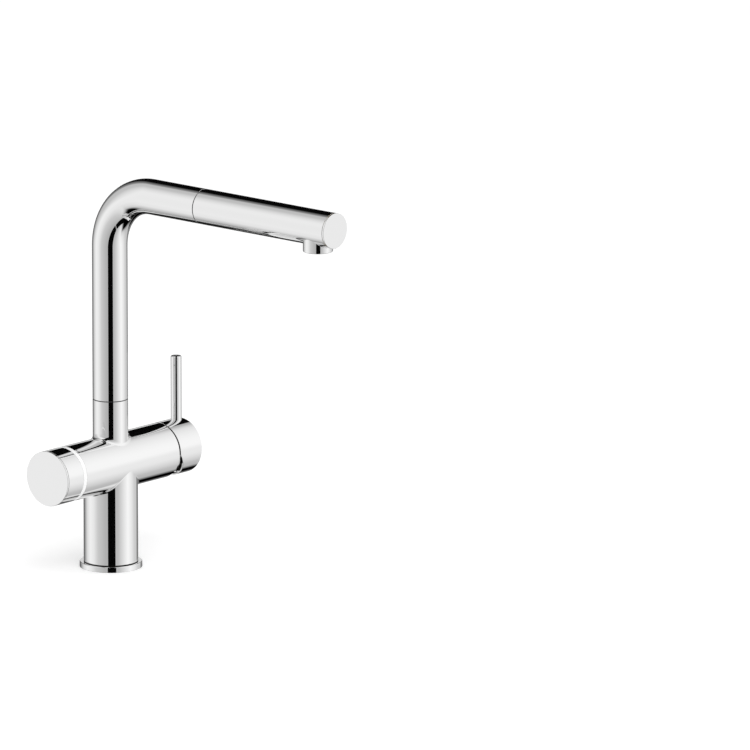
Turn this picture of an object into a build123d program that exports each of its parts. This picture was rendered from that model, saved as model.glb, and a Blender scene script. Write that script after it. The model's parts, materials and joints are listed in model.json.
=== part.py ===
from build123d import *
import os
from math import asin, cos, degrees, radians, sin, sqrt, tan

# A chrome kitchen mixer for hot, cold, still and sparkling water, piece by piece, in millimetres.
# The origin is the centre of the base on the deck. +Z runs up the riser, +X along the barrel to
# the lever, and -Y is the way that the spout points.

os.makedirs("parts", exist_ok=True)

# Gaps and fits
seat_gap = 0.03
running_gap = 0.08
rubbing_gap = 0.06
cover_gap = 0.3
screw_gap = 0.15
same_size = 1e-4

# Base and column
flange_overhang = 3.75
flange_height = 5.2
flange_edge = 0.7
column_inset = 0.4
column_wall = 3.5
column_foot_chamfer = 0.5
lip_height = 2.5
lip_wall = 1.0
base_seal_width = 3.0
base_seal_height = 1.6
base_seal_inset = 2.6
chamber_roof = 72.0

# Cross barrel
barrel_axis = 97.0
barrel_dia = 50.8
barrel_wall = 5.8
barrel_left = 59.8
barrel_right = 66.9
barrel_edge = 0.3
seam_edge = 0.15
column_fillet = 2.0

# Stud bosses and tail ports
stud_hole_dia = 6.8
stud_hole_depth = 16.0
stud_boss_dia = 11.0
stud_spacing = 32.4
stud_boss_foot = 9.0
port_hole_dia = 8.9
port_depth = 10.0
port_circle_dia = 31.0
port_spread = 40.0
waterway_dia = 6.0
outlet_drop = 10.0
hose_bore_dia = 18.0

# Riser, swivel and spout
tube_dia = 32.5
tube_wall = 1.5
riser_fillet = 3.0
swivel_level = 157.2
swivel_seam = 0.8
arm_height = 353.5
bend_radius = 52.5
arm_length = 115.3
neck_dia = 24.0
neck_socket_dia = 27.0
neck_socket_depth = 20.0
neck_height = 29.0
glide_wall = 1.0
glide_sleeve = 3.2
glide_flange = 0.6
glide_inset = 0.45
o_ring_cord = 1.4
groove_share = 1.3
lower_o_ring_height = 7.0
upper_o_ring_height = 12.5
set_screw_height = 20.5
set_screw_dia = 4.0
set_screw_tip_dia = 2.5
set_screw_key = 2.0
stop_groove_depth = 1.3
stop_play = 1.0
swivel_range = 75.0

# Pull-out head
head_seam = 0.8
face_distance = 20.7
face_thickness = 1.8
face_edge = 0.35
head_wall = 1.5
cap_spigot_length = 4.2
cap_spigot_wall = 2.2
cap_seal_cord = 1.1
nozzle_reach = 252.9
nozzle_dia = 27.3
nozzle_drop = 21.5
nozzle_edge = 0.8
nozzle_wall = 2.15
aerator_height = 10.4
aerator_recess = 0.9
aerator_plate = 2.0
aerator_wall = 1.4
aerator_seal_height = 1.2
aerator_seal_width = 2.4
jet_dia = 4.6
jet_bore_dia = 3.0
jet_plug = 2.5
jet_recess = 0.6
spray_hole_dia = 1.3
spray_ring_count = 3
first_ring_dia = 9.8
ring_pitch = 2.0
first_ring_holes = 8
added_ring_holes = 4
channel_dia = 17.6
channel_wall = 1.5
channel_rib = 1.2
nozzle_chamber_wall = 2.4
block_gap = 0.6
docking_depth = 28.0
collar_lip = 3.0
collar_opening_dia = 16.0
docking_dia = 23.6
docking_chamfer = 0.9
spigot_flange = 13.0
valve_dia = 13.0
valve_shoulder = 1.8

# Hose and its inner tube
hose_dia = 13.0
hose_bore = 8.6
inner_tube_dia = 5.2
inner_tube_bore = 3.8
hose_foot = 38.0
coupling_length = 28.0
coupling_dia = 16.0
hose_lead = 2.0
hose_fitting_inset = 5.4
hose_fitting_length = 20.0
hose_fitting_dia = 15.8
outer_channels = 6
coupling_groove = 1.8
coupling_groove_width = 3.6
coupling_chamfer = 0.9

# Selector side
white_ring_width = 4.3
ring_gap = 0.2
ring_depth = 4.5
knob_length = 20.0
knob_wall = 2.0
knob_web = 3.0
knob_web_place = 12.7
knob_hub_dia = 16.0
knob_hub_place = 1.7
knob_face_spigot = 4.1
selector_rim = 0.5
selector_port_inset = 5.4
selector_case_length = 27.0
selector_case_roof = 3.0
selector_disc_thickness = 3.0
gland_thread_depth = 1.6
gland_thickness = 5.0
gland_inset = 2.0
gland_key_size = 17.0
gland_key_depth = 3.0
spindle_plate_inset = 4.4
spindle_plate = 3.0
selector_spindle_dia = 10.0
spindle_neck = 2.6
drive_tongue_width = 4.0
drive_tongue = 1.2
drive_tongue_inset = 1.5
turning_pocket_depth = 1.2
spline_dia = 8.0
spline_teeth = 16
spline_depth = 0.5
spline_tooth = 0.8
knob_screw_dia = 4.0
knob_screw_length = 11.0
knob_screw_head_dia = 7.0
knob_screw_head = 2.4
knob_screw_key = 2.5

# Lever side
lever_seam = 1.0
cap_length = 29.3
cap_wall = 1.1
cap_face_wall = 1.8
cap_cut_angle = 27.0
lift_range = 25.0
stem_arm = 10.5
stem_ball_dia = 6.0
ball_gap = 0.3
socket_lip = 1.5
stem_neck_dia = 4.4
stem_width = 5.0
stem_depth = 8.0
stem_flat = 6.0
stem_rod_dia = 8.0
stem_length = 27.0
pivot_pin_dia = 3.0
pivot_pin_inset = 0.6
guide_inset = 6.7
guide_flange_inset = 2.1
guide_flange = 2.3
guide_length = 9.6
guide_gap = 1.2
cartridge_inset = 1.7
cartridge_wall = 1.5
cartridge_neck = 3.6
cartridge_neck_wall = 1.7
cartridge_base = 4.5
fixed_disc_thickness = 4.0
moving_disc_thickness = 3.0
moving_disc_inset = 5.9
driver_plate = 2.3
driver_inset = 0.5
driver_boss_dia = 12.0
disc_port_inset = 1.0
disc_port_dia = 5.2
disc_pocket_depth = 1.8
disc_pocket_inset = 3.0
disc_pocket_drop = 7.5
port_seal_height = 1.2
port_seal_wall = 1.4
nut_web = 2.6
nut_skirt = 2.4
nut_notch_dia = 3.0
nut_notch_depth = 1.5
nut_notches = 6
dome_wall = 1.2
dome_reach = 13.0
dome_opening_inset = 12.8
dome_skirt = 2.5
hub_play = 3.35
hub_start = 18.0
pin_boss_dia = 12.0
pin_seat_depth = 0.8
pin_dia = 10.0
pin_place = 90.2
pin_top = 182.0
pin_edge = 0.7
pin_thread_dia = 6.0
pin_thread_length = 12.0
grub_screw_dia = 5.0
grub_screw_length = 6.0
grub_screw_key = 2.5
grub_screw_bite = 0.8

# Levels and radii worked out from the sizes above
barrel_r = barrel_dia / 2
column_r = barrel_r - column_inset
flange_r = column_r + flange_overhang
chamber_r = column_r - column_wall
base_bore_r = chamber_r - seat_gap - lip_wall
tube_r = tube_dia / 2
tube_bore_r = tube_r - tube_wall
neck_r = neck_dia / 2
hose_r = hose_dia / 2
inner_r = inner_tube_dia / 2
inner_bore_r = inner_tube_bore / 2
tube_foot = swivel_level + swivel_seam
hose_split = bend_radius + hose_lead
port_r = port_circle_dia / 2
half_lift = lift_range / 2


def level(height):
    """A plane at a height above the deck, facing up."""
    return Plane.XY.offset(height)


def rightward(distance, drop=0.0):
    """A plane across the barrel axis, or one a drop lower, on the lever's side, facing outward."""
    return Plane(origin=(distance, 0, barrel_axis - drop), x_dir=(0, 1, 0), z_dir=(1, 0, 0))


def leftward(distance):
    """A plane across the barrel axis on the selector's side, facing outward."""
    return Plane(origin=(-distance, 0, barrel_axis), x_dir=(0, -1, 0), z_dir=(-1, 0, 0))


def outward(distance):
    """A plane across the arm, facing away from the riser."""
    return Plane(origin=(0, -distance, arm_height), x_dir=(1, 0, 0), z_dir=(0, -1, 0))


def nozzle_level(height):
    """A plane across the nozzle's axis at a height above the deck, facing up."""
    return Plane(origin=(0, -nozzle_reach, height), x_dir=(1, 0, 0), z_dir=(0, 0, 1))


def rearward(distance):
    """A plane through the lift pivot that faces the back of the tap."""
    return Plane(origin=lift_pivot + Vector(0, distance, 0), x_dir=(1, 0, 0), z_dir=(0, 1, 0))


def under_pin(height):
    """A plane across the lever pin's axis at a height above the deck, facing up."""
    return Plane(origin=(pin_place, 0, height), x_dir=(1, 0, 0), z_dir=(0, 0, 1))


def along_stem(distance):
    """A plane across the lever stem at a distance from its pivot, facing outward."""
    way = Vector(cos(radians(half_lift)), 0, sin(radians(half_lift)))
    return Plane(origin=lift_pivot + way * distance, x_dir=(0, 1, 0), z_dir=way)


def disc(plane, radius, length, bore=0.0, mode=Mode.ADD):
    """A round disc, or a ring where it has a bore, that stands on a plane."""
    with BuildSketch(plane) as outline:
        Circle(radius)
        if bore > 0:
            Circle(bore, mode=Mode.SUBTRACT)
    extrude(outline.sketch, amount=length, mode=mode)


def drill(plane, points, radius, depth):
    """Round holes of one size and depth, sunk from a plane along its normal."""
    with BuildSketch(plane) as holes:
        with Locations(*points):
            Circle(radius)
    extrude(holes.sketch, amount=depth, mode=Mode.SUBTRACT)


def o_ring(plane, radius, cord):
    """A round seal whose cord has its centre on a circle in the plane."""
    with BuildSketch(Plane(origin=plane.origin, x_dir=plane.x_dir, z_dir=plane.y_dir)) as section:
        with Locations((radius, 0)):
            Circle(cord / 2)
    revolve(section.sketch, axis=Axis(plane.origin, plane.z_dir))


def hose_channels(plane, length):
    """The channels of a hose fitting: one in the middle for treated water, six around it for mixed."""
    with BuildSketch(plane) as channels:
        Circle(inner_bore_r)
        with PolarLocations((inner_r + hose_bore / 2) / 2, outer_channels):
            Circle((hose_bore / 2 - inner_r) / 2)
    extrude(channels.sketch, amount=length, mode=Mode.SUBTRACT)


def rim(part, axis, radius, last=True):
    """The circular edge of a given radius that lies furthest along an axis, or the first one."""
    circles = part.edges().filter_by(GeomType.CIRCLE)
    rims = circles.filter_by(lambda edge: abs(edge.radius - radius) < same_size).sort_by(axis)
    return rims[-1] if last else rims[0]


def save(piece, name):
    """Labels a finished piece and writes it to its own file."""
    piece.label = name
    export_step(piece, f"parts/{name}.step")


lift_pivot = Vector(barrel_right, 0, barrel_axis)
barrel_line = Axis((0, 0, barrel_axis), (1, 0, 0))
arm_line = Axis((0, 0, arm_height), (0, -1, 0))

# Stack of the mixer cartridge, worked inward from the stem's ball end
ball_place = barrel_right - stem_arm * cos(radians(half_lift))
ball_r = stem_ball_dia / 2
socket_floor = ball_place - ball_r - ball_gap
driver_start = socket_floor - driver_plate
moving_disc_start = driver_start - moving_disc_thickness
fixed_disc_start = moving_disc_start - rubbing_gap - fixed_disc_thickness
mixer_floor = fixed_disc_start - cartridge_base
disc_drop = stem_arm * sin(radians(half_lift))
driver_top = ball_place + socket_lip
guide_start = driver_top + guide_gap
guide_shoulder = guide_start + guide_flange
case_shoulder = guide_shoulder + rubbing_gap
case_end = case_shoulder + cartridge_wall
nut_r = barrel_r - barrel_wall
case_r = nut_r - cartridge_inset
case_bore_r = case_r - cartridge_wall
guide_r = case_r - guide_inset
guide_flange_r = case_r - guide_flange_inset
moving_disc_r = case_r - moving_disc_inset
driver_r = moving_disc_r - driver_inset
disc_pocket_width = 2 * (moving_disc_r - disc_pocket_inset)
disc_port_place = disc_pocket_width / 2 - disc_port_inset
case_neck_bore_r = guide_r + running_gap
case_neck_r = case_neck_bore_r + cartridge_neck_wall
nut_start = case_end - nut_skirt
dome_r = barrel_r - cap_wall - cover_gap
dome_opening_r = barrel_r - dome_opening_inset
hub_r = dome_opening_r - hub_play
dome_skirt_r = nut_r + lip_wall + cover_gap
mouth_r = dome_skirt_r + dome_wall + seat_gap

# Tail port places, seen from below, and the cartridge ports that they feed
tail_x = port_r * cos(radians(port_spread))
tail_y = port_r * sin(radians(port_spread))
supply_ports = [(tail_y, 0), (-tail_y, 0)]
cartridge_ports = [*supply_ports, (0, -outlet_drop)]
waterway_r = waterway_dia / 2
seal_r = waterway_r + port_seal_wall

# Stack of the selector, worked inward from the gland nut
gland_end = barrel_left + gland_inset
case_left_end = gland_end - gland_thickness
selector_floor = case_left_end - selector_case_length
selector_case_r = tail_y + seal_r + seat_gap + selector_rim
gland_r = selector_case_r + gland_thread_depth
spindle_plate_r = selector_case_r - spindle_plate_inset
drive_tongue_length = 2 * (spindle_plate_r - drive_tongue_inset)
ring_spigot_r = barrel_r - ring_depth
selector_bore_r = selector_case_r - cartridge_wall
selector_port_place = selector_bore_r - selector_port_inset
selector_fixed_start = selector_floor + cartridge_base
selector_turning_start = selector_fixed_start + selector_disc_thickness + rubbing_gap
spindle_start = selector_turning_start + selector_disc_thickness
ring_end = barrel_left + white_ring_width
knob_start = ring_end + ring_gap
knob_end = knob_start + knob_length
spigot_end = ring_end - ring_gap
spindle_r = selector_spindle_dia / 2
spline_r = spline_dia / 2
knob_web_start = knob_start + knob_web_place
spline_start = gland_end + spindle_neck
spline_end = knob_web_start - cover_gap

# Base flange with its centring lip and seal groove
seal_outer_r = flange_r - base_seal_inset
seal_inner_r = seal_outer_r - base_seal_width
with BuildPart() as base_flange:
    disc(level(0), flange_r, flange_height, bore=base_bore_r)
    disc(level(flange_height), chamber_r - seat_gap, lip_height, bore=base_bore_r)
    disc(level(0), seal_outer_r, base_seal_height, bore=seal_inner_r, mode=Mode.SUBTRACT)
    fillet(rim(base_flange.part, Axis.Z, flange_r), flange_edge)
save(base_flange.part, "base_flange")

# Seal under the flange
with BuildPart() as base_seal:
    disc(level(0), seal_outer_r - seat_gap, base_seal_height, bore=seal_inner_r + seat_gap)
save(base_seal.part, "base_seal")

# Tap body: column, barrel and riser stub in one casting, with chambers, ports and waterways
stud_places = [(0, stud_spacing / 2), (0, -stud_spacing / 2)]
with BuildPart() as tap_body:
    disc(level(flange_height), column_r, barrel_axis - flange_height)
    disc(leftward(barrel_left), barrel_r, -(barrel_left + barrel_right))
    disc(level(barrel_axis), tube_r, swivel_level - barrel_axis)
    meetings = tap_body.edges().filter_by(
        lambda edge: edge.geom_type not in (GeomType.CIRCLE, GeomType.LINE)
    )
    fillet(meetings.sort_by(Axis.Z)[-1], riser_fillet)
    meetings = tap_body.edges().filter_by(
        lambda edge: edge.geom_type not in (GeomType.CIRCLE, GeomType.LINE)
    )
    fillet(meetings.sort_by(Axis.Z)[0], column_fillet)
    chamfer(rim(tap_body.part, Axis.Z, column_r, last=False), column_foot_chamfer)
    chamfer(rim(tap_body.part, Axis.X, barrel_r), barrel_edge)
    chamfer(rim(tap_body.part, Axis.Z, tube_r), seam_edge)
    disc(leftward(barrel_left), ring_spigot_r, spigot_end - barrel_left)
    disc(level(flange_height), chamber_r, chamber_roof - flange_height, mode=Mode.SUBTRACT)
    with BuildSketch(level(stud_boss_foot)) as bosses:
        with Locations(*stud_places):
            Circle(stud_boss_dia / 2)
    extrude(bosses.sketch, amount=chamber_roof - stud_boss_foot)
    drill(level(stud_boss_foot), stud_places, stud_hole_dia / 2, stud_hole_depth)
    disc(level(chamber_roof), hose_bore_dia / 2, swivel_level - chamber_roof, mode=Mode.SUBTRACT)
    socket_level = swivel_level - neck_socket_depth
    disc(level(socket_level), neck_socket_dia / 2, neck_socket_depth, mode=Mode.SUBTRACT)
    disc(rightward(mixer_floor), case_r + seat_gap, barrel_right - mixer_floor, mode=Mode.SUBTRACT)
    disc(rightward(nut_start), nut_r + seat_gap, barrel_right - nut_start, mode=Mode.SUBTRACT)
    disc(rightward(barrel_right - dome_skirt), mouth_r, dome_skirt, mode=Mode.SUBTRACT)
    selector_depth = spigot_end - selector_floor
    disc(leftward(selector_floor), selector_case_r + seat_gap, selector_depth, mode=Mode.SUBTRACT)
    disc(leftward(case_left_end), gland_r + seat_gap, spigot_end - case_left_end, mode=Mode.SUBTRACT)
    port_places = [(side * tail_x, way * tail_y) for side in (1, -1) for way in (1, -1)]
    outlet_places = [(port_r, 0), (-port_r, 0)]
    drill(level(chamber_roof), port_places + outlet_places, port_hole_dia / 2, port_depth)
    drill(level(chamber_roof), port_places, waterway_r, barrel_axis - chamber_roof)
    drill(level(chamber_roof), outlet_places, waterway_r, barrel_axis - outlet_drop - chamber_roof)
    drill(rightward(tail_x), supply_ports, waterway_r, mixer_floor - tail_x)
    drill(rightward(port_r), [(0, -outlet_drop)], waterway_r, mixer_floor - port_r)
    drill(leftward(tail_x), supply_ports, waterway_r, selector_floor - tail_x)
    drill(leftward(port_r), [(0, -outlet_drop)], waterway_r, selector_floor - port_r)
save(tap_body.part, "tap_body")

# Spout neck that the spout turns on, with its O-ring grooves and the arc groove of the stop
tip_angle = degrees(asin(set_screw_tip_dia / 2 / (neck_r - stop_groove_depth)))
stop_arc = 2 * (swivel_range + tip_angle + stop_play)
stop_start = radians(90 - stop_arc / 2)
stop_plane = Plane(
    origin=(0, 0, tube_foot + set_screw_height),
    x_dir=(cos(stop_start), sin(stop_start), 0),
    z_dir=(sin(stop_start), -cos(stop_start), 0),
)
o_ring_levels = [tube_foot + lower_o_ring_height, tube_foot + upper_o_ring_height]
o_ring_r = neck_r + running_gap - seat_gap - o_ring_cord / 2
neck_groove_floor = o_ring_r - o_ring_cord / 2 - seat_gap
groove_width = groove_share * o_ring_cord
neck_run = neck_height + swivel_seam
with BuildPart() as spout_neck:
    disc(level(socket_level), neck_socket_dia / 2 - seat_gap, neck_socket_depth - seat_gap)
    disc(level(swivel_level - seat_gap), neck_r, neck_run)
    disc(level(socket_level), hose_bore_dia / 2, neck_socket_depth + neck_run, mode=Mode.SUBTRACT)
    for height in o_ring_levels:
        groove = level(height - groove_width / 2)
        disc(groove, tube_r, groove_width, bore=neck_groove_floor, mode=Mode.SUBTRACT)
    with BuildSketch(stop_plane) as stop_section:
        with Locations((neck_r - stop_groove_depth, 0)):
            width = set_screw_tip_dia + 2 * cover_gap
            Rectangle(neck_r, width, align=(Align.MIN, Align.CENTER))
    revolve(stop_section.sketch, axis=Axis.Z, revolution_arc=stop_arc, mode=Mode.SUBTRACT)
save(spout_neck.part, "spout_neck")

# O-rings of the swivel
with BuildPart() as swivel_o_rings:
    for height in o_ring_levels:
        o_ring(level(height), o_ring_r, o_ring_cord)
save(swivel_o_rings.part, "swivel_o_rings")

# Glide rings that centre the spout on the neck
glide_r = neck_r + seat_gap + glide_wall
with BuildPart() as lower_glide_ring:
    disc(level(swivel_level), tube_r - glide_inset, glide_flange, bore=neck_r + seat_gap)
    disc(level(swivel_level), glide_r, swivel_seam + glide_sleeve, bore=neck_r + seat_gap)
save(lower_glide_ring.part, "lower_glide_ring")
bush_height = neck_height - seat_gap
bush_top = tube_foot + bush_height
with BuildPart() as upper_glide_ring:
    disc(level(bush_top - glide_sleeve), glide_r, glide_sleeve, bore=neck_r + seat_gap)
save(upper_glide_ring.part, "upper_glide_ring")

# Bush in the spout's foot, with a pocket for each glide ring
screw_level = tube_foot + set_screw_height
screw_plane = Plane(origin=(0, 0, screw_level), x_dir=(-1, 0, 0), z_dir=(0, 1, 0))
pocket = glide_sleeve + rubbing_gap
with BuildPart() as swivel_bush:
    disc(level(tube_foot), tube_bore_r - seat_gap, bush_height, bore=neck_r + running_gap)
    disc(level(tube_foot), glide_r + running_gap, pocket, mode=Mode.SUBTRACT)
    disc(level(bush_top - pocket), glide_r + running_gap, pocket, mode=Mode.SUBTRACT)
    drill(screw_plane, [(0, 0)], set_screw_dia / 2 + seat_gap, tube_r)
save(swivel_bush.part, "swivel_bush")

# Set screw whose tip runs in the arc groove
tip_start = neck_r - stop_groove_depth + screw_gap
screw_start = neck_r + running_gap + screw_gap
screw_end = tube_r - cover_gap
with BuildPart() as spout_set_screw:
    tip_plane = Plane(origin=(0, tip_start, screw_level), x_dir=(-1, 0, 0), z_dir=(0, 1, 0))
    disc(tip_plane, set_screw_tip_dia / 2, screw_start - tip_start + seat_gap)
    shank_plane = Plane(origin=(0, screw_start, screw_level), x_dir=(-1, 0, 0), z_dir=(0, 1, 0))
    disc(shank_plane, set_screw_dia / 2, screw_end - screw_start)
    socket_plane = Plane(origin=(0, screw_end, screw_level), x_dir=(-1, 0, 0), z_dir=(0, 1, 0))
    with BuildSketch(socket_plane) as hex_socket:
        RegularPolygon(set_screw_key / 2, 6, major_radius=False)
    extrude(hex_socket.sketch, amount=-(screw_end - screw_start) / 2, mode=Mode.SUBTRACT)
save(spout_set_screw.part, "spout_set_screw")

# Spout tube: riser, bend and arm in one drawn tube
with BuildPart() as spout_tube:
    with BuildLine(Plane.YZ) as spout_line:
        FilletPolyline(
            (0, tube_foot), (0, arm_height), (-arm_length, arm_height), radius=bend_radius
        )
    with BuildSketch(level(tube_foot)) as tube_section:
        Circle(tube_r)
        Circle(tube_bore_r, mode=Mode.SUBTRACT)
    sweep(tube_section.sketch, path=spout_line.line)
    drill(screw_plane, [(0, 0)], set_screw_dia / 2 + seat_gap, 2 * tube_r)
save(spout_tube.part, "spout_tube")

# Docking collar in the arm's mouth, with a lip that guides the hose
collar_stop = arm_length - docking_depth
docking_r = docking_dia / 2
with BuildPart() as docking_collar:
    collar_length = docking_depth + collar_lip
    disc(outward(collar_stop - collar_lip), tube_bore_r - seat_gap, collar_length)
    disc(outward(collar_stop), docking_r + running_gap, docking_depth, mode=Mode.SUBTRACT)
    disc(outward(collar_stop - collar_lip), collar_opening_dia / 2, collar_lip, mode=Mode.SUBTRACT)
    chamfer(rim(docking_collar.part, arm_line, docking_r + running_gap), docking_chamfer)
save(docking_collar.part, "docking_collar")

# Docking spigot on the head's tail, bored for the hose fitting and the non-return valve
head_start = arm_length + head_seam
spigot_start = collar_stop + cover_gap
flange_start = head_start + cover_gap
spigot_front = flange_start + spigot_flange
fitting_bore_r = hose_fitting_dia / 2 + seat_gap
fitting_start = spigot_start + hose_fitting_inset
fitting_end = fitting_start + hose_fitting_length
valve_start = fitting_end + valve_shoulder
valve_r = valve_dia / 2
head_bore_r = tube_r - head_wall
with BuildPart() as docking_spigot:
    disc(outward(spigot_start), docking_r, spigot_front - spigot_start)
    disc(outward(flange_start), head_bore_r - seat_gap, spigot_flange)
    disc(outward(spigot_start), fitting_bore_r, fitting_end - spigot_start, mode=Mode.SUBTRACT)
    disc(outward(fitting_end), valve_r - valve_shoulder, valve_shoulder, mode=Mode.SUBTRACT)
    disc(outward(valve_start), valve_r + seat_gap, spigot_front - valve_start, mode=Mode.SUBTRACT)
    chamfer(rim(docking_spigot.part, arm_line, docking_r, last=False), docking_chamfer)
save(docking_spigot.part, "docking_spigot")

# Fitting on the hose's end
with BuildPart() as hose_end_fitting:
    disc(outward(fitting_start), hose_fitting_dia / 2, hose_fitting_length)
    hose_channels(outward(fitting_start), hose_fitting_length)
save(hose_end_fitting.part, "hose_end_fitting")

# Hose inside the arm, which lengthens as the head is pulled out, and its inner tube
hose_end = fitting_start
with BuildPart() as hose_in_arm:
    disc(outward(hose_split), hose_r, hose_end - hose_split, bore=hose_bore / 2)
save(hose_in_arm.part, "hose_in_arm")
with BuildPart() as inner_tube_in_arm:
    disc(outward(hose_split), inner_r, hose_end - hose_split, bore=inner_bore_r)
save(inner_tube_in_arm.part, "inner_tube_in_arm")

# Hose inside the riser and the bend, and its inner tube
with BuildLine(Plane.YZ) as hose_line:
    FilletPolyline(
        (0, hose_foot), (0, arm_height), (-hose_split, arm_height), radius=bend_radius
    )
for name, outer_r, bore_r in (
    ("hose_in_riser", hose_r, hose_bore / 2),
    ("inner_tube_in_riser", inner_r, inner_bore_r),
):
    with BuildPart() as hose:
        with BuildSketch(level(hose_foot)) as hose_section:
            Circle(outer_r)
            Circle(bore_r, mode=Mode.SUBTRACT)
        sweep(hose_section.sketch, path=hose_line.line)
    save(hose.part, name)

# Coupling on the hose's lower end, inside the column
coupling_foot = hose_foot - coupling_length
with BuildPart() as hose_coupling:
    disc(level(coupling_foot), coupling_dia / 2, coupling_length)
    hose_channels(level(coupling_foot), coupling_length)
    latch = level(coupling_foot + coupling_groove_width)
    latch_floor = coupling_dia / 2 - coupling_groove
    disc(latch, coupling_dia, coupling_groove_width, bore=latch_floor, mode=Mode.SUBTRACT)
    chamfer(rim(hose_coupling.part, Axis.Z, coupling_dia / 2, last=False), coupling_chamfer)
save(hose_coupling.part, "hose_coupling")

# Shell of the pull-out head with the nozzle boss under it
face_start = nozzle_reach + face_distance - face_thickness
nozzle_foot = arm_height - nozzle_drop
aerator_foot = nozzle_foot + aerator_recess
boss_top = aerator_foot + aerator_height
nozzle_r = nozzle_dia / 2
block_foot = boss_top + aerator_seal_height
aerator_bore_r = nozzle_r - nozzle_wall
with BuildPart() as head_shell:
    disc(outward(head_start), tube_r, face_start - head_start)
    disc(outward(head_start), head_bore_r, face_start - head_start, mode=Mode.SUBTRACT)
    disc(nozzle_level(nozzle_foot), nozzle_r, boss_top - nozzle_foot)
    bore_height = block_foot - nozzle_foot
    disc(nozzle_level(nozzle_foot), aerator_bore_r, bore_height, mode=Mode.SUBTRACT)
    fillet(rim(head_shell.part, Axis.Z, nozzle_r, last=False), nozzle_edge)
    chamfer(rim(head_shell.part, arm_line, tube_r, last=False), seam_edge)
    chamfer(rim(head_shell.part, arm_line, tube_r), seam_edge)
save(head_shell.part, "head_shell")

# End cap of the head with its spigot and seal
cap_spigot_r = head_bore_r - seat_gap
cap_spigot_start = face_start - cap_spigot_length
cap_seal_place = face_start - cap_spigot_length / 2
cap_groove_floor = cap_spigot_r - cap_seal_cord
cap_groove_width = groove_share * cap_seal_cord
with BuildPart() as head_end_cap:
    disc(outward(face_start), tube_r, face_thickness)
    spigot_bore = cap_spigot_r - cap_spigot_wall
    disc(outward(cap_spigot_start), cap_spigot_r, cap_spigot_length, bore=spigot_bore)
    groove = outward(cap_seal_place - cap_groove_width / 2)
    disc(groove, tube_r, cap_groove_width, bore=cap_groove_floor, mode=Mode.SUBTRACT)
    fillet(rim(head_end_cap.part, arm_line, tube_r), face_edge)
    chamfer(rim(head_end_cap.part, arm_line, tube_r, last=False), seam_edge)
save(head_end_cap.part, "head_end_cap")
with BuildPart() as end_cap_seal:
    o_ring(outward(cap_seal_place), cap_groove_floor + cap_seal_cord / 2 + seat_gap, cap_seal_cord)
save(end_cap_seal.part, "end_cap_seal")

# Non-return valve in the spigot, around the inner channel
with BuildPart() as non_return_valve:
    disc(outward(valve_start), valve_r, spigot_front - valve_start, bore=inner_r + seat_gap)
save(non_return_valve.part, "non_return_valve")

# Waterway of the head: mixed water runs around the inner channel, and both turn down at the nozzle
channel_r = channel_dia / 2
channel_run = nozzle_reach - spigot_front
jet_r = jet_dia / 2
block_r = aerator_bore_r - block_gap
block_top = arm_height + sqrt((head_bore_r - cover_gap) ** 2 - block_r**2)
chamber_height = arm_height - block_foot
with BuildPart() as head_waterway:
    disc(outward(spigot_front), channel_r, channel_run)
    disc(nozzle_level(block_foot), block_r, block_top - block_foot)
    disc(outward(spigot_front), channel_r - channel_wall, channel_run, mode=Mode.SUBTRACT)
    chamber_bore = block_r - nozzle_chamber_wall
    disc(nozzle_level(block_foot), chamber_bore, chamber_height, mode=Mode.SUBTRACT)
    disc(outward(spigot_front), inner_r, channel_run)
    disc(nozzle_level(block_foot), jet_r + channel_wall, chamber_height + inner_r + channel_rib)
    with BuildSketch(outward(spigot_front)) as ribs:
        with PolarLocations((inner_bore_r + channel_r) / 2, 3, start_angle=90):
            Rectangle(channel_r - inner_r, channel_rib)
    extrude(ribs.sketch, amount=channel_run - block_r - channel_wall)
    disc(outward(spigot_front), inner_bore_r, channel_run + inner_bore_r, mode=Mode.SUBTRACT)
    disc(nozzle_level(block_foot), jet_bore_dia / 2, chamber_height, mode=Mode.SUBTRACT)
    disc(nozzle_level(block_foot), jet_r + seat_gap, jet_plug, mode=Mode.SUBTRACT)
save(head_waterway.part, "head_waterway")

# Aerator cartridge screwed into the nozzle, with its spray holes around the treated water's jet
aerator_r = aerator_bore_r - seat_gap
with BuildPart() as aerator_cartridge:
    disc(nozzle_level(aerator_foot), aerator_r, aerator_height)
    hollow_height = aerator_height - aerator_plate
    hollow_r = aerator_r - aerator_wall
    disc(nozzle_level(aerator_foot + aerator_plate), hollow_r, hollow_height, mode=Mode.SUBTRACT)
    disc(nozzle_level(aerator_foot), jet_r + aerator_wall, aerator_height)
    disc(nozzle_level(aerator_foot), jet_r + seat_gap, aerator_height, mode=Mode.SUBTRACT)
    for ring in range(spray_ring_count):
        ring_r = first_ring_dia / 2 + ring * ring_pitch
        holes = first_ring_holes + ring * added_ring_holes
        with BuildSketch(nozzle_level(aerator_foot)) as spray_holes:
            with PolarLocations(ring_r, holes):
                Circle(spray_hole_dia / 2)
        extrude(spray_holes.sketch, amount=aerator_plate, mode=Mode.SUBTRACT)
save(aerator_cartridge.part, "aerator_cartridge")

# Seal between the aerator and the waterway, and the jet tube of the treated water
with BuildPart() as aerator_seal:
    seal_bore = aerator_r - aerator_seal_width
    disc(nozzle_level(boss_top), aerator_r - cover_gap, aerator_seal_height, bore=seal_bore)
save(aerator_seal.part, "aerator_seal")
with BuildPart() as treated_jet:
    jet_foot = nozzle_foot + jet_recess
    disc(nozzle_level(jet_foot), jet_r, block_foot + jet_plug - jet_foot, bore=jet_bore_dia / 2)
save(treated_jet.part, "treated_jet")

# Port seals under both cartridges
for name, plane in (
    ("mixer_port_seals", rightward(mixer_floor)),
    ("selector_port_seals", leftward(selector_floor)),
):
    with BuildPart() as port_seals:
        with BuildSketch(plane) as seal_rings:
            with Locations(*cartridge_ports):
                Circle(seal_r)
                Circle(waterway_r, mode=Mode.SUBTRACT)
        extrude(seal_rings.sketch, amount=port_seal_height)
    save(port_seals.part, name)

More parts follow.
